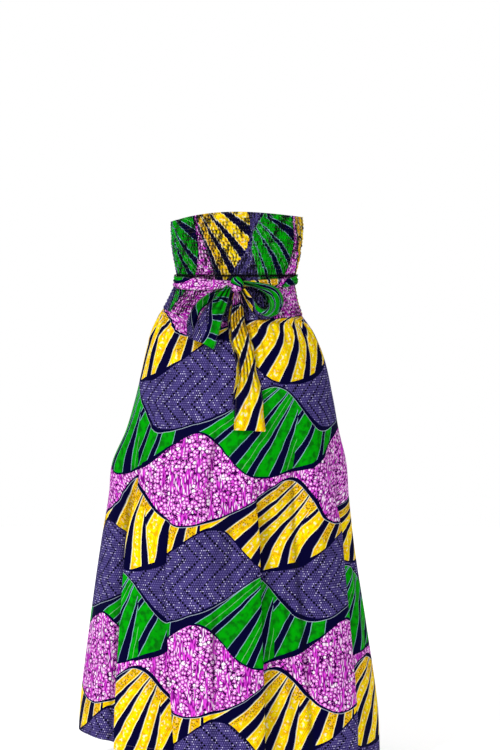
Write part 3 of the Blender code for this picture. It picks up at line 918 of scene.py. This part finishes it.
class Maker:
    """Adds nodes to the tree of a new material or world. They end in its shader."""

    def __init__(self, made, shader):
        made.use_nodes = True
        self.made, self.tree = made, made.node_tree
        self.shader = self.tree.nodes[shader]

    def node(self, kind, settings, inputs):
        """One node of a type, with its settings and then the values or links of its sockets."""
        added = self.tree.nodes.new(kind)
        for name, value in settings.items():
            setattr(added, name, value)
        return self.feed(added, inputs)

    def feed(self, node, inputs):
        """Give a node's sockets their values or links."""
        for key, value in inputs.items():
            if isinstance(value, Number):
                value = value.socket
            if isinstance(value, bpy.types.NodeSocket):
                self.tree.links.new(value, node.inputs[key])
            else:
                node.inputs[key].default_value = value
        return node

    def math(self, operation, *values):
        """A Math node."""
        found = self.node("ShaderNodeMath", {"operation": operation}, dict(enumerate(values)))
        return Number(self, found.outputs[0])

    def point(self, x, y):
        """A vector of two numbers."""
        return self.node("ShaderNodeCombineXYZ", {}, {"X": x, "Y": y}).outputs[0]

    def mix(self, share, low, high):
        """A colour between two others."""
        settings = {"data_type": "RGBA", "clamp_factor": True}
        return self.node("ShaderNodeMix", settings, {0: share, 6: low, 7: high}).outputs[2]

    def paint(self, colour, *layers):
        """A colour with others laid over it in turn. A layer is how much it covers, up to 1, and a colour."""
        for share, over in layers:
            colour = self.mix(share, colour, over)
        return colour

    def noise(self, vector, scale, detail=2.0):
        """Soft noise with this many patches in a metre."""
        inputs = {"Vector": vector, "Scale": scale, "Detail": detail, "Roughness": 0.5}
        found = self.node("ShaderNodeTexNoise", {"noise_dimensions": "2D"}, inputs)
        return Number(self, found.outputs[0])

    def random(self, x, y):
        """A random number from 0 to 1 for each pair of whole numbers."""
        found = self.node("ShaderNodeTexWhiteNoise", {"noise_dimensions": "2D"}, {"Vector": self.point(x, y)})
        return Number(self, found.outputs["Value"])

    def voronoi(self, feature, vector, width, randomness):
        """The outputs of a node that packs pebbles of a width. They lie in rows where randomness is 0."""
        settings = {"voronoi_dimensions": "2D", "feature": feature}
        inputs = {"Vector": vector, "Scale": 1 / width, "Randomness": randomness}
        return self.node("ShaderNodeTexVoronoi", settings, inputs).outputs

    def cells(self, vector, width, randomness=1.0):
        """The distance to the middle of the nearest pebble, and two random numbers of its own."""
        found = self.voronoi("F1", vector, width, randomness)
        split = self.node("ShaderNodeSeparateColor", {}, {0: found["Color"]}).outputs
        return tuple(Number(self, socket) for socket in (found["Distance"], split[0], split[1]))

    def net(self, vector, width, randomness):
        """Distance to the line between the two nearest pebbles."""
        return Number(self, self.voronoi("DISTANCE_TO_EDGE", vector, width, randomness)["Distance"])


# ---------------------------------------------------------------- the wax print

# Sizes of its drawing in metres.
WOBBLE_ACROSS, WOBBLE_DOWN = 0.004, 0.007  # how far its lines stray
LINE_ABOVE, LINE_SWELL = 0.0022, 0.0085  # the outline under a band's upper edge, and how it swells
LINE_BELOW, LINE_BELOW_SWELL = 0.0016, 0.0022
PALE_LINE = 0.0006  # half width of the pale line beside the outline
PEBBLE, FINE_PEBBLE, SPECKLE = 0.0080, 0.0036, 0.0042
PEBBLE_UNEVENNESS = 0.9
STREAK_WIDTH, STREAK_LENGTH = 0.0025, 0.015
DOT_PITCH, ZIGZAG_PITCH = 0.0050, 0.0054
ZIGZAG_ROWS, ZIGZAG_DOTS = 24, 6  # rows in a zigzag, and dots from one zigzag to the next
WEAVE_PITCH, WEAVE_HEIGHT, WRINKLE_HEIGHT = 0.0007, 0.00004, 0.0012
GREEN_PALE, YELLOW_PALE = (0.0014, 0.0011), (0.0024, 0.0014)  # widths of the pale edges of a ray
YELLOW_GREY = 0.0012  # width of the grey line in the nearer of them
HATCHED, UNHATCHED = 0.009, 0.015  # widths of a ray where its hatching is full and where it ends

BANDS = 4
SAME = 1e-5  # two numbers this near are the same
EDGE_PHASES = (0, 150, -50, 110)  # degrees by which the wave of each band's upper edge is shifted
EDGE_SWING = 0.48  # how far an edge swings, in bands
EDGE_LEAN, EDGE_LEAN_PHASE = 0.45, 0.6  # how the waves lean over to one side
RAY_ANGLE = 0.180  # between two rays of a fan
WEDGE_LEAST, WEDGE_MORE = 0.20, 0.32  # share of a ray that its wedge takes up, and how much that varies
WEDGE_START, WEDGE_FULL = 0.04, 0.26  # metres from the fan's centre
# Centres of the two fans of a repeat, from the band's middle, and the place where the second takes over.
Fan = namedtuple("Fan", "across down")
FANS = (Fan(0.105, -0.165), Fan(0.215, -0.210))
FAN_CHANGE = 0.060
# What a point has in its ray: metres from the near and far edge of the dark wedge, the share across the ray,
# and the ray's own random number.
Ray = namedtuple("Ray", "near far share chance")


def linear(red, green, blue):
    """A colour given in 0 to 255 screen values, as Blender's linear one."""
    screen = np.array([red, green, blue]) / 255
    value = np.where(screen <= 0.04045, screen / 12.92, ((screen + 0.055) / 1.055) ** 2.4)
    return (*value.tolist(), 1.0)


def band_edge(angle, k, sine):
    """The wave of a band's upper edge, in repeats, for an angle that goes round once in a repeat."""
    at = angle + np.radians(EDGE_PHASES[k % BANDS])
    return (k + EDGE_SWING * sine(at + EDGE_LEAN * sine(at + EDGE_LEAN_PHASE))) / BANDS


def thickest(k):
    """Where in a repeat a band is thickest, and how far down its middle is there, as shares of a repeat."""
    share = np.linspace(0, 1, 721)  # every half degree
    upper, lower = (band_edge(2 * np.pi * share, j, np.sin) for j in (k, k + 1))
    best = int(np.argmax(lower - upper))
    return float(share[best]), float((upper + lower)[best] / 2)


class WaxPrint(Maker):
    """Printed cotton, drawn on the flat cloth: bands of green rays, magenta pebbles, yellow rays and indigo
    dots, with dark outlines, painted shade in creases and shadows, and a fine weave in the bump."""

    def __init__(self, name, sizes, colours):
        super().__init__(bpy.data.materials.new(name), "Principled BSDF")
        self.wide, self.high, self.colours = sizes.print_width, sizes.print_height, colours
        self.uv = self.node("ShaderNodeUVMap", {"uv_map": "cloth"}, {}).outputs[0]
        split = self.node("ShaderNodeSeparateXYZ", {}, {0: self.uv})
        self.flat_u, self.flat_v = Number(self, split.outputs[0]), Number(self, split.outputs[1])
        self.u = self.flat_u + (self.noise(self.uv, 26.0) - 0.5) * WOBBLE_ACROSS
        self.v = self.flat_v + (self.noise(self.uv, 17.0, 1.0) - 0.5) * WOBBLE_DOWN
        self.angle = self.u * (2 * np.pi / self.wide)
        thread = 2 * np.pi / WEAVE_PITCH
        weave = (self.flat_u * thread).sin() * (self.flat_v * thread).sin()
        height = weave * WEAVE_HEIGHT + self.noise(self.uv, 90.0, 3.0) * WRINKLE_HEIGHT
        bump = self.node("ShaderNodeBump", {}, {"Strength": 0.45, "Distance": 1.0, "Height": height})
        finish = {"Roughness": 0.56 + self.noise(self.uv, 38.0, 3.0) * 0.2, "Specular IOR Level": 0.02}
        self.feed(self.shader, {"Base Color": self.colour(), "Normal": bump.outputs[0], **finish})

    def colour(self):
        """The four bands, the lines along their edges, uneven dye, and shade painted where the cloth lies in
        a crease or in a shadow.
        """
        within, above, below = self.bands()
        line_above = LINE_ABOVE + ((self.angle + 1.1).sin().most(0) ** 4) * LINE_SWELL
        line_below = LINE_BELOW + ((self.angle * 2 + 2.0).sin().most(0) ** 3) * LINE_BELOW_SWELL
        outline = (above < line_above).most(below < line_below)
        pale = above.near(line_above, PALE_LINE) * within[0].most(within[2])
        dye = self.noise(self.uv, 8.0, 3.0) - 0.45
        # Painted shade from each point's attribute, made patchy by a fine noise.
        found = self.node("ShaderNodeAttribute", {"attribute_name": "hollow"}, {})
        hollow = Number(self, found.outputs["Fac"]) * (0.34 + self.noise(self.uv, 230.0) * 1.25)
        black = linear(6, 4, 22)
        return self.paint(
            self.green_rays(),
            (within[1], self.magenta_pebbles()),
            (within[2], self.yellow_rays(above)),
            (within[3], self.indigo_dots(black)),
            (outline, self.colours.navy),
            (pale * 0.65, linear(190, 205, 225)),
            (dye * 0.5, black),
            # the painted shade of creases and shadows
            (hollow, linear(6, 8, 10)),
        )

    def bands(self):
        """The print's bands, one below the other, with a wave for each edge. Gives for each band whether a
        point is in it, and the distances to the edges above and below."""
        passed = [(self.v / self.high - band_edge(self.angle, k, Number.sin)).fract() for k in range(BANDS)]
        nearest, farthest = reduce(Number.least, passed), reduce(Number.most, passed)
        within = [number.math("COMPARE", nearest, SAME) for number in passed]
        return within, nearest * self.high, (1 - farthest) * self.high

    def rays(self, band):
        """Fans of rays in a band. A point's ray is its angle round the fan's centre over the ray angle. Each
        ray has a dark wedge at one side, which widens away from the centre."""
        middle_across, middle_down = thickest(band)
        across = ((self.u / self.wide + (0.5 - middle_across)).fract() - 0.5) * self.wide
        down = ((self.v / self.high + (0.5 - middle_down)).fract() - 0.5) * self.high
        second = across > FAN_CHANGE
        x, y = (at - (first + second * (other - first)) for at, first, other in zip((across, down), *FANS))
        radius = (x * x + y * y).root()
        place = x.math("ARCTAN2", y) / RAY_ANGLE + (40 + 0.37 * band)
        number, share = place.floor(), place.fract()
        chance = self.random(number, second * 7 + band * 13)
        wedge = (WEDGE_LEAST + chance * WEDGE_MORE) * radius.step(WEDGE_START, WEDGE_FULL)
        pitch = radius * RAY_ANGLE
        return Ray((share - wedge) * pitch, (1 - share) * pitch, (share - wedge) / (1 - wedge), chance)

    def hatching(self, ray):
        """Three fine lines along each ray, only where the ray is narrow and only on some rays."""
        lines = (ray.share * 3 + ray.chance).fract().near(0.5, 0.13)
        return lines * (ray.near + ray.far).step(UNHATCHED, HATCHED) * (ray.chance > 0.25)

    def edges(self, ray, near, far):
        """1 along a ray's two sides, over these widths."""
        return (ray.near < near).most(ray.far < far)

    def green_rays(self):
        """Green rays between dark wedges, deeper towards their sides, with pale edges and veins."""
        ray = self.rays(0)
        mottle = self.noise(self.uv, 70.0, 3.0).step(0.40, 0.72)
        side = (ray.share - 0.5).size().step(0.30, 0.52)
        vein = (ray.share + (ray.chance - 0.5) * 0.5).near(0.62, 0.018) * (ray.chance > 0.55)
        pale = self.edges(ray, *GREEN_PALE)
        return self.paint(
            self.mix(mottle, self.colours.green, linear(4, 112, 10)),
            (side * 0.45, linear(20, 96, 20)),
            (vein * 0.7, linear(150, 205, 160)),
            (self.hatching(ray) * 0.5, linear(120, 170, 170)),
            (pale * 0.8, linear(150, 190, 215)),
            (ray.near < 0.0, self.colours.navy),
        )

    def yellow_rays(self, above):
        """Yellow rays between dark wedges, with a row of glowing spots, gold lines, and speckled gold patches
        under the band's upper edge."""
        ray = self.rays(2)
        mottle = self.noise(self.uv, 95.0, 3.0).step(0.46, 0.66)
        glow = self.noise(self.uv, 150.0, 1.0).step(0.56, 0.70) * (ray.share - 0.45).size().step(0.28, 0.12)
        line = ray.share.near(0.20, 0.022).most(ray.share.near(0.80, 0.022))
        side_line = ray.share.near(0.30, 0.012).most(ray.share.near(0.71, 0.012))
        patch = above.step(0.055, 0.030) * (ray.chance > 0.42) * (ray.share - 0.5).size().step(0.44, 0.30)
        spots, tone, _ = self.cells(self.uv, SPECKLE)
        speckle = spots.step(0.42, 0.26) * (tone > 0.35) * patch
        pale = self.edges(ray, *YELLOW_PALE)
        return self.paint(
            self.mix(mottle, self.colours.yellow, linear(244, 186, 6)),
            (glow * 0.85, linear(255, 250, 205)),
            (line * 0.6, linear(226, 120, 10)),
            (side_line * 0.45, linear(120, 74, 10)),
            (patch * 0.55, linear(214, 150, 10)),
            (speckle * 0.8, linear(96, 58, 8)),
            (pale * 0.85, linear(244, 238, 206)),
            (self.hatching(ray) * 0.60, linear(112, 120, 150)),
            ((ray.near < YELLOW_GREY) * 0.8, linear(120, 128, 158)),
            (ray.near < 0.0, self.colours.navy),
        )

    def magenta_pebbles(self):
        """Packed pebbles in pinks, some with white hearts, in a dark net with fine dust, and patches that
        stretch into streaks."""
        distance, tone, size = self.cells(self.uv, PEBBLE, PEBBLE_UNEVENNESS)
        pebble = self.net(self.uv, PEBBLE, PEBBLE_UNEVENNESS).step(0.04, 0.09)
        pebble = pebble.least((0.40 + size * 0.20 - distance).step(0.0, 0.07))
        light = self.mix(tone.step(0.86, 0.90), linear(240, 128, 234), linear(255, 240, 255))
        heart = distance.step(0.32, 0.12) * (size > 0.16)
        tint = self.mix(tone.step(0.34, 0.40), self.colours.magenta, light)
        tint = self.mix(heart * 0.92, tint, linear(255, 228, 253))
        fine, fine_tone, _ = self.cells(self.uv, FINE_PEBBLE)
        dust = fine.step(0.36, 0.26) * (1 - pebble) * (fine_tone > 0.25)
        sway = self.noise(self.uv, 30.0, 1.0) * 1.5
        stretched = self.point(self.flat_u / STREAK_WIDTH + sway, self.flat_v / STREAK_LENGTH)
        streak, streak_tone, _ = self.cells(stretched, 1.0)
        bright = self.mix(streak_tone.step(0.66, 0.70), linear(226, 66, 220), linear(255, 226, 253))
        streaks = self.mix(streak.step(0.54, 0.34), linear(124, 10, 130), bright)
        where = self.noise(self.point(self.flat_u * 4.2, self.flat_v * 0.9), 19.0, 1.0).step(0.54, 0.59)
        dusted = (dust * 0.85, linear(232, 112, 226))
        return self.paint(linear(58, 0, 70), (pebble, tint), dusted, (where, streaks))

    def indigo_dots(self, black):
        """Rows of fine pale dots, and black dots in zigzags, on indigo."""
        mottle = self.noise(self.uv, 60.0).step(0.35, 0.7)
        row = (self.flat_v / DOT_PITCH).floor()
        across = self.flat_u / DOT_PITCH + row * 0.5
        x, y = across.fract() - 0.5, (self.flat_v / DOT_PITCH).fract() - 0.5
        dot = (x * x + y * y * 1.6).root().step(0.34, 0.20)
        chance = self.random(across.floor(), row)
        place, level = self.flat_u / ZIGZAG_PITCH, self.flat_v / ZIGZAG_PITCH
        zigzag = ((level.floor() / ZIGZAG_ROWS).fract() - 0.5).size() * ZIGZAG_ROWS
        line = ((place.floor() + zigzag.math("ROUND")) / ZIGZAG_DOTS).fract() < 0.1
        x, y = place.fract() - 0.5, level.fract() - 0.5
        spot = (x * x + y * y).root().step(0.52, 0.42)
        return self.paint(
            self.mix(mottle, self.colours.indigo, linear(47, 39, 90)),
            (dot * 0.55, linear(132, 122, 190)),
            (dot * (chance > 0.80), linear(206, 200, 240)),
            (spot * line, black),
        )


def wax_material():
    """The one printed cotton of all pieces."""
    name, scene = "wax_print_cotton", bpy.context.scene
    return bpy.data.materials.get(name) or WaxPrint(name, scene.dress_sizes, scene.dress_colours).made


def thread_material():
    """The one cotton sewing thread: a dull twist."""
    name = "sewing_thread"
    if name in bpy.data.materials:
        return bpy.data.materials[name]
    make = Maker(bpy.data.materials.new(name), "Principled BSDF")
    place = make.node("ShaderNodeTexCoord", {}, {}).outputs["Object"]
    twist = make.node("ShaderNodeTexNoise", {}, {"Vector": place, "Scale": 900.0}).outputs[0]
    shade = make.mix(twist, bpy.context.scene.dress_colours.thread, linear(128, 112, 128))
    make.feed(make.shader, {"Base Color": shade, "Roughness": 0.7})
    return make.made


# ---------------------------------------------------------------- settings


def length_setting(name, description, default):
    """A setting in metres."""
    return bpy.props.FloatProperty(name=name, description=description, default=default, unit="LENGTH")


def count_setting(name, description, default):
    """A setting that is a whole number."""
    return bpy.props.IntProperty(name=name, description=description, default=default)


def colour_setting(name, *screen):
    """A colour setting, whose default is given in screen values."""
    found = {"name": name, "description": name + " of the cloth", "default": linear(*screen)}
    return bpy.props.FloatVectorProperty(subtype="COLOR", size=4, **found)


class DressSizes(bpy.types.PropertyGroup):
    """Sizes of the cloth, its gathers and its print"""

    cloth_thickness: length_setting("Cloth thickness", "Thickness of the cloth's wall", 0.0009)
    shirred_rows: count_setting("Shirred rows", "Rows of puffs between elastic threads on the back", 28)
    shirred_gathers: count_setting("Shirred gathers", "Puffs in one row across the back", 58)
    puff: length_setting("Puff", "How far a puff of the shirring stands out", 0.0024)
    waist_gathers: count_setting("Waist gathers", "Gathers round half of the skirt's top", 34)
    gather_depth: length_setting("Gather depth", "Depth of the skirt's waist gathers", 0.0022)
    stitch: length_setting("Stitch", "Length of one sewing stitch", 0.0024)
    thread_width: length_setting("Thread width", "Width of the sewing thread", 0.0004)
    crease_scale: bpy.props.FloatProperty(
        name="Crease scale", description="Depth of the small creases, over that in their tables", default=1.0
    )
    print_width: length_setting("Print width", "Width of one repeat of the print", 0.385)
    print_height: length_setting("Print height", "Height of one repeat of the print", 0.400)


class DressColours(bpy.types.PropertyGroup):
    """Colours of the print and the thread"""

    green: colour_setting("Green rays", 0, 160, 4)
    yellow: colour_setting("Yellow rays", 255, 226, 0)
    magenta: colour_setting("Magenta pebbles", 217, 70, 212)
    indigo: colour_setting("Indigo ground", 63, 53, 114)
    navy: colour_setting("Dark outlines", 3, 2, 45)
    thread: colour_setting("Sewing thread", 92, 78, 96)


# ---------------------------------------------------------------- operators


class DRESS_OT_bodice(bpy.types.Operator):
    """Make the shirred back and the smooth front of the bodice"""

    bl_idname = "dress.bodice"
    bl_label = "Bodice"

    def execute(self, context):
        rows = context.scene.dress_sizes.shirred_rows
        grid, turns, drops, hollow = bodice_back_grid(context.scene.dress_sizes)
        wide = float(run_along(ring(np.linspace(0, 1, 200), np.full(200, BUST_LINE))[0])[-1])
        back = cloth("bodice_back", grid, (turns - 0.5) * wide, drops, "print_magenta", hollow)
        step = (len(grid) - 1) / (rows - 0.5)
        threads = [(number - 0.5) * step for number in range(1, rows)]
        sewing = sewn("shirring", grid, threads, "print_magenta", SHIRRING_SUNK, SHIRRING_GAP)
        grid = bodice_front_grid()
        front = cloth("bodice_front", grid, row_lengths(grid), -grid[..., 2], "print_yellow")
        sewing = sewn("top_edge", grid, TOP_EDGE_ROWS, "print_yellow")
        surface(grid)
        return {"FINISHED"}


class DRESS_OT_skirt(bpy.types.Operator):
    """Make the two halves of the skirt"""

    bl_idname = "dress.skirt"
    bl_label = "Skirt"

    def execute(self, context):
        for name, first, columns, folds, creases, seed, slot in (
            ("skirt_back", 0, 330, BACK_FOLDS, BACK_CREASES, 31, "print_green"),
            ("skirt_front", 1, 300, FRONT_FOLDS, FRONT_CREASES, 41, "print_indigo"),
        ):
            grid = skirt_grid(first, columns, folds, creases, seed)
            across = row_lengths(grid)
            # The skirt's painted shade: darker where the cloth lies deeper in the dips of its folds.
            made = cloth(name, grid, across, -grid[..., 2], slot, sunken(grid) * FOLD_SHADE)
            last_row = abs(grid[-1, HEM_COLUMN, 2] - grid[-2, HEM_COLUMN, 2])
            sewing = sewn(name, grid, [len(grid) - 1 - HEM_TURN_UP / last_row], slot)
            surface(grid)
        return {"FINISHED"}


class DRESS_OT_sash(bpy.types.Operator):
    """Make the sash round the waist"""

    bl_idname = "dress.sash"
    bl_label = "Sash"

    def execute(self, context):
        for name, rows, seed, slot in (
            ("sash_left", SASH_LEFT, 51, "print_magenta"),
            ("sash_right", SASH_RIGHT, 61, "print_yellow"),
        ):
            grid, hollow = sash_grid(rows, seed)
            down = np.linspace(-0.5, 0.5, len(grid))[:, None] * SASH_CUT
            made = cloth(name, grid, row_lengths(grid), down, slot, hollow)
            sewing = sewn(name, grid, SASH_HEM_ROWS, slot)
            flat_size(grid)
        return {"FINISHED"}


class DRESS_OT_bow(bpy.types.Operator):
    """Make the loops, tails and knot of the bow"""

    bl_idname = "dress.bow"
    bl_label = "Bow"

    def execute(self, context):
        for name, rows, pleats, bunches, crimp, seed, slot in (
            ("loop_left", LOOP_LEFT, LOOP_PLEATS, 1.0, 0.0030, 71, "print_indigo"),
            ("loop_right", LOOP_RIGHT, LOOP_PLEATS, 1.0, 0.0030, 81, "print_green"),
            ("tail_long", TAIL_LONG, TAIL_PLEATS, 2.0, 0.0040, 91, "print_yellow"),
            ("tail_short", TAIL_SHORT, TAIL_PLEATS, 1.0, 0.0020, 101, "print_yellow"),
        ):
            grid, hollow = strip_grid(rows, pleats, bunches, crimp, seed)
            lengthwise = grid.transpose(1, 0, 2)
            down = np.linspace(-0.5, 0.5, grid.shape[1])[None, :] * STRIP_CUT
            made = cloth(name, grid, row_lengths(lengthwise).T, down, slot, hollow)
            sewing = sewn(name, lengthwise, STRIP_HEM_ROWS, slot, sides=(-1, 1))
            cut = flat_size(lengthwise)
        grid, slant, height = knot_grid()
        knot = printed("knot", grid, slant * KNOT_CUT[0], height * KNOT_CUT[1])
        closed(knot)
        stands_for("knot", "print_indigo")
        return {"FINISHED"}


# The stage. Places are x, y and z, the lens is in millimetres and the power in watts.
FLOOR = -1.215
FLOOR_RINGS = (0.0, 1.0, 2.4, 4.2)
PAPER = {
    "Roughness": 0.9,
    "Base Color": (0.93, 0.93, 0.93, 1.0),
    "Emission Color": (1.0, 1.0, 1.0, 1.0),
    "Emission Strength": 0.55,
}
STUDIO_LIGHT = 0.36  # strength of the light from all round, which the camera sees at 1
LAMP_AIM = (0, 0, -0.6)
Lamp = namedtuple("Lamp", "name place size power")
LAMPS = (
    Lamp("key", (3.0, 3.6, 3.0), 1.2, 205),
    Lamp("fill", (-3.4, 3.4, 1.0), 3.0, 36),
    Lamp("front_fill", (0.5, -4.0, 2.5), 3.5, 45),
)
CAMERA_PLACE, CAMERA_AIM, CAMERA_LENS = (-0.0297, 5.5, 0), (-0.0297, 0, -0.3586), 120.25


def aimed(name, data, place, aim):
    """A lamp or camera at a place, turned to look at another."""
    made = bpy.data.objects.new(name, data)
    made.location = place
    made.rotation_euler = (Vector(aim) - Vector(place)).to_track_quat("-Z", "Y").to_euler()
    bpy.context.scene.collection.objects.link(made)
    return made


class DRESS_OT_stage(bpy.types.Operator):
    """Make the floor and backdrop, the soft lights and the camera"""

    bl_idname = "dress.stage"
    bl_label = "Stage"

    def execute(self, context):
        paper = Maker(bpy.data.materials.new("stage_paper"), "Principled BSDF")
        paper.feed(paper.shader, PAPER)
        spread = np.array(FLOOR_RINGS)[::-1, None]
        around = np.linspace(0, 2 * np.pi, 49)[None, :]
        grid = np.stack([spread * np.cos(around), spread * np.sin(around), FLOOR + 0 * spread * around], -1)
        floor = mesh_object("stage_floor", grid.reshape(-1, 3), quads(*grid.shape[:2]), paper.made)
        closed(floor)
        sky = Maker(bpy.data.worlds.new("studio"), "Background")
        seen = sky.node("ShaderNodeLightPath", {}, {}).outputs["Is Camera Ray"]
        glow = sky.node("ShaderNodeMix", {}, {0: seen, 2: STUDIO_LIGHT, 3: 1.0}).outputs[0]
        sky.feed(sky.shader, {0: (1, 1, 1, 1), 1: glow})
        context.scene.world = sky.made
        for lamp in LAMPS:
            light = bpy.data.lights.new(lamp.name, "AREA")
            light.size, light.energy = lamp.size, lamp.power
            aimed(lamp.name, light, lamp.place, LAMP_AIM)
        lens = bpy.data.cameras.new("camera")
        lens.lens = CAMERA_LENS
        context.scene.camera = aimed("camera", lens, CAMERA_PLACE, CAMERA_AIM)
        context.scene.view_settings.view_transform = "Standard"
        return {"FINISHED"}


class DRESS_PT_panel(bpy.types.Panel):
    """The settings, and a button for each operator"""

    bl_label = "Wax print dress"
    bl_space_type = "VIEW_3D"
    bl_region_type = "UI"
    bl_category = "Dress"

    def draw(self, context):
        for group in (context.scene.dress_sizes, context.scene.dress_colours):
            for name in group.__annotations__:
                self.layout.prop(group, name)
        for operator in OPERATORS:
            self.layout.operator(operator.bl_idname)


OPERATORS = (DRESS_OT_bodice, DRESS_OT_skirt, DRESS_OT_sash, DRESS_OT_bow, DRESS_OT_stage)
CLASSES = (DressSizes, DressColours, *OPERATORS, DRESS_PT_panel)


def register():
    """Add the settings, the operators and the panel."""
    for kind in CLASSES:
        bpy.utils.register_class(kind)
    bpy.types.Scene.dress_sizes = bpy.props.PointerProperty(type=DressSizes)
    bpy.types.Scene.dress_colours = bpy.props.PointerProperty(type=DressColours)


def unregister():
    """Take them away again."""
    del bpy.types.Scene.dress_colours
    del bpy.types.Scene.dress_sizes
    for kind in reversed(CLASSES):
        bpy.utils.unregister_class(kind)


def main():
    """Make the dress on its stage."""
    register()
    bpy.ops.dress.bodice()
    bpy.ops.dress.skirt()
    bpy.ops.dress.sash()
    bpy.ops.dress.bow()
    bpy.ops.dress.stage()


if __name__ == "__main__":
    main()
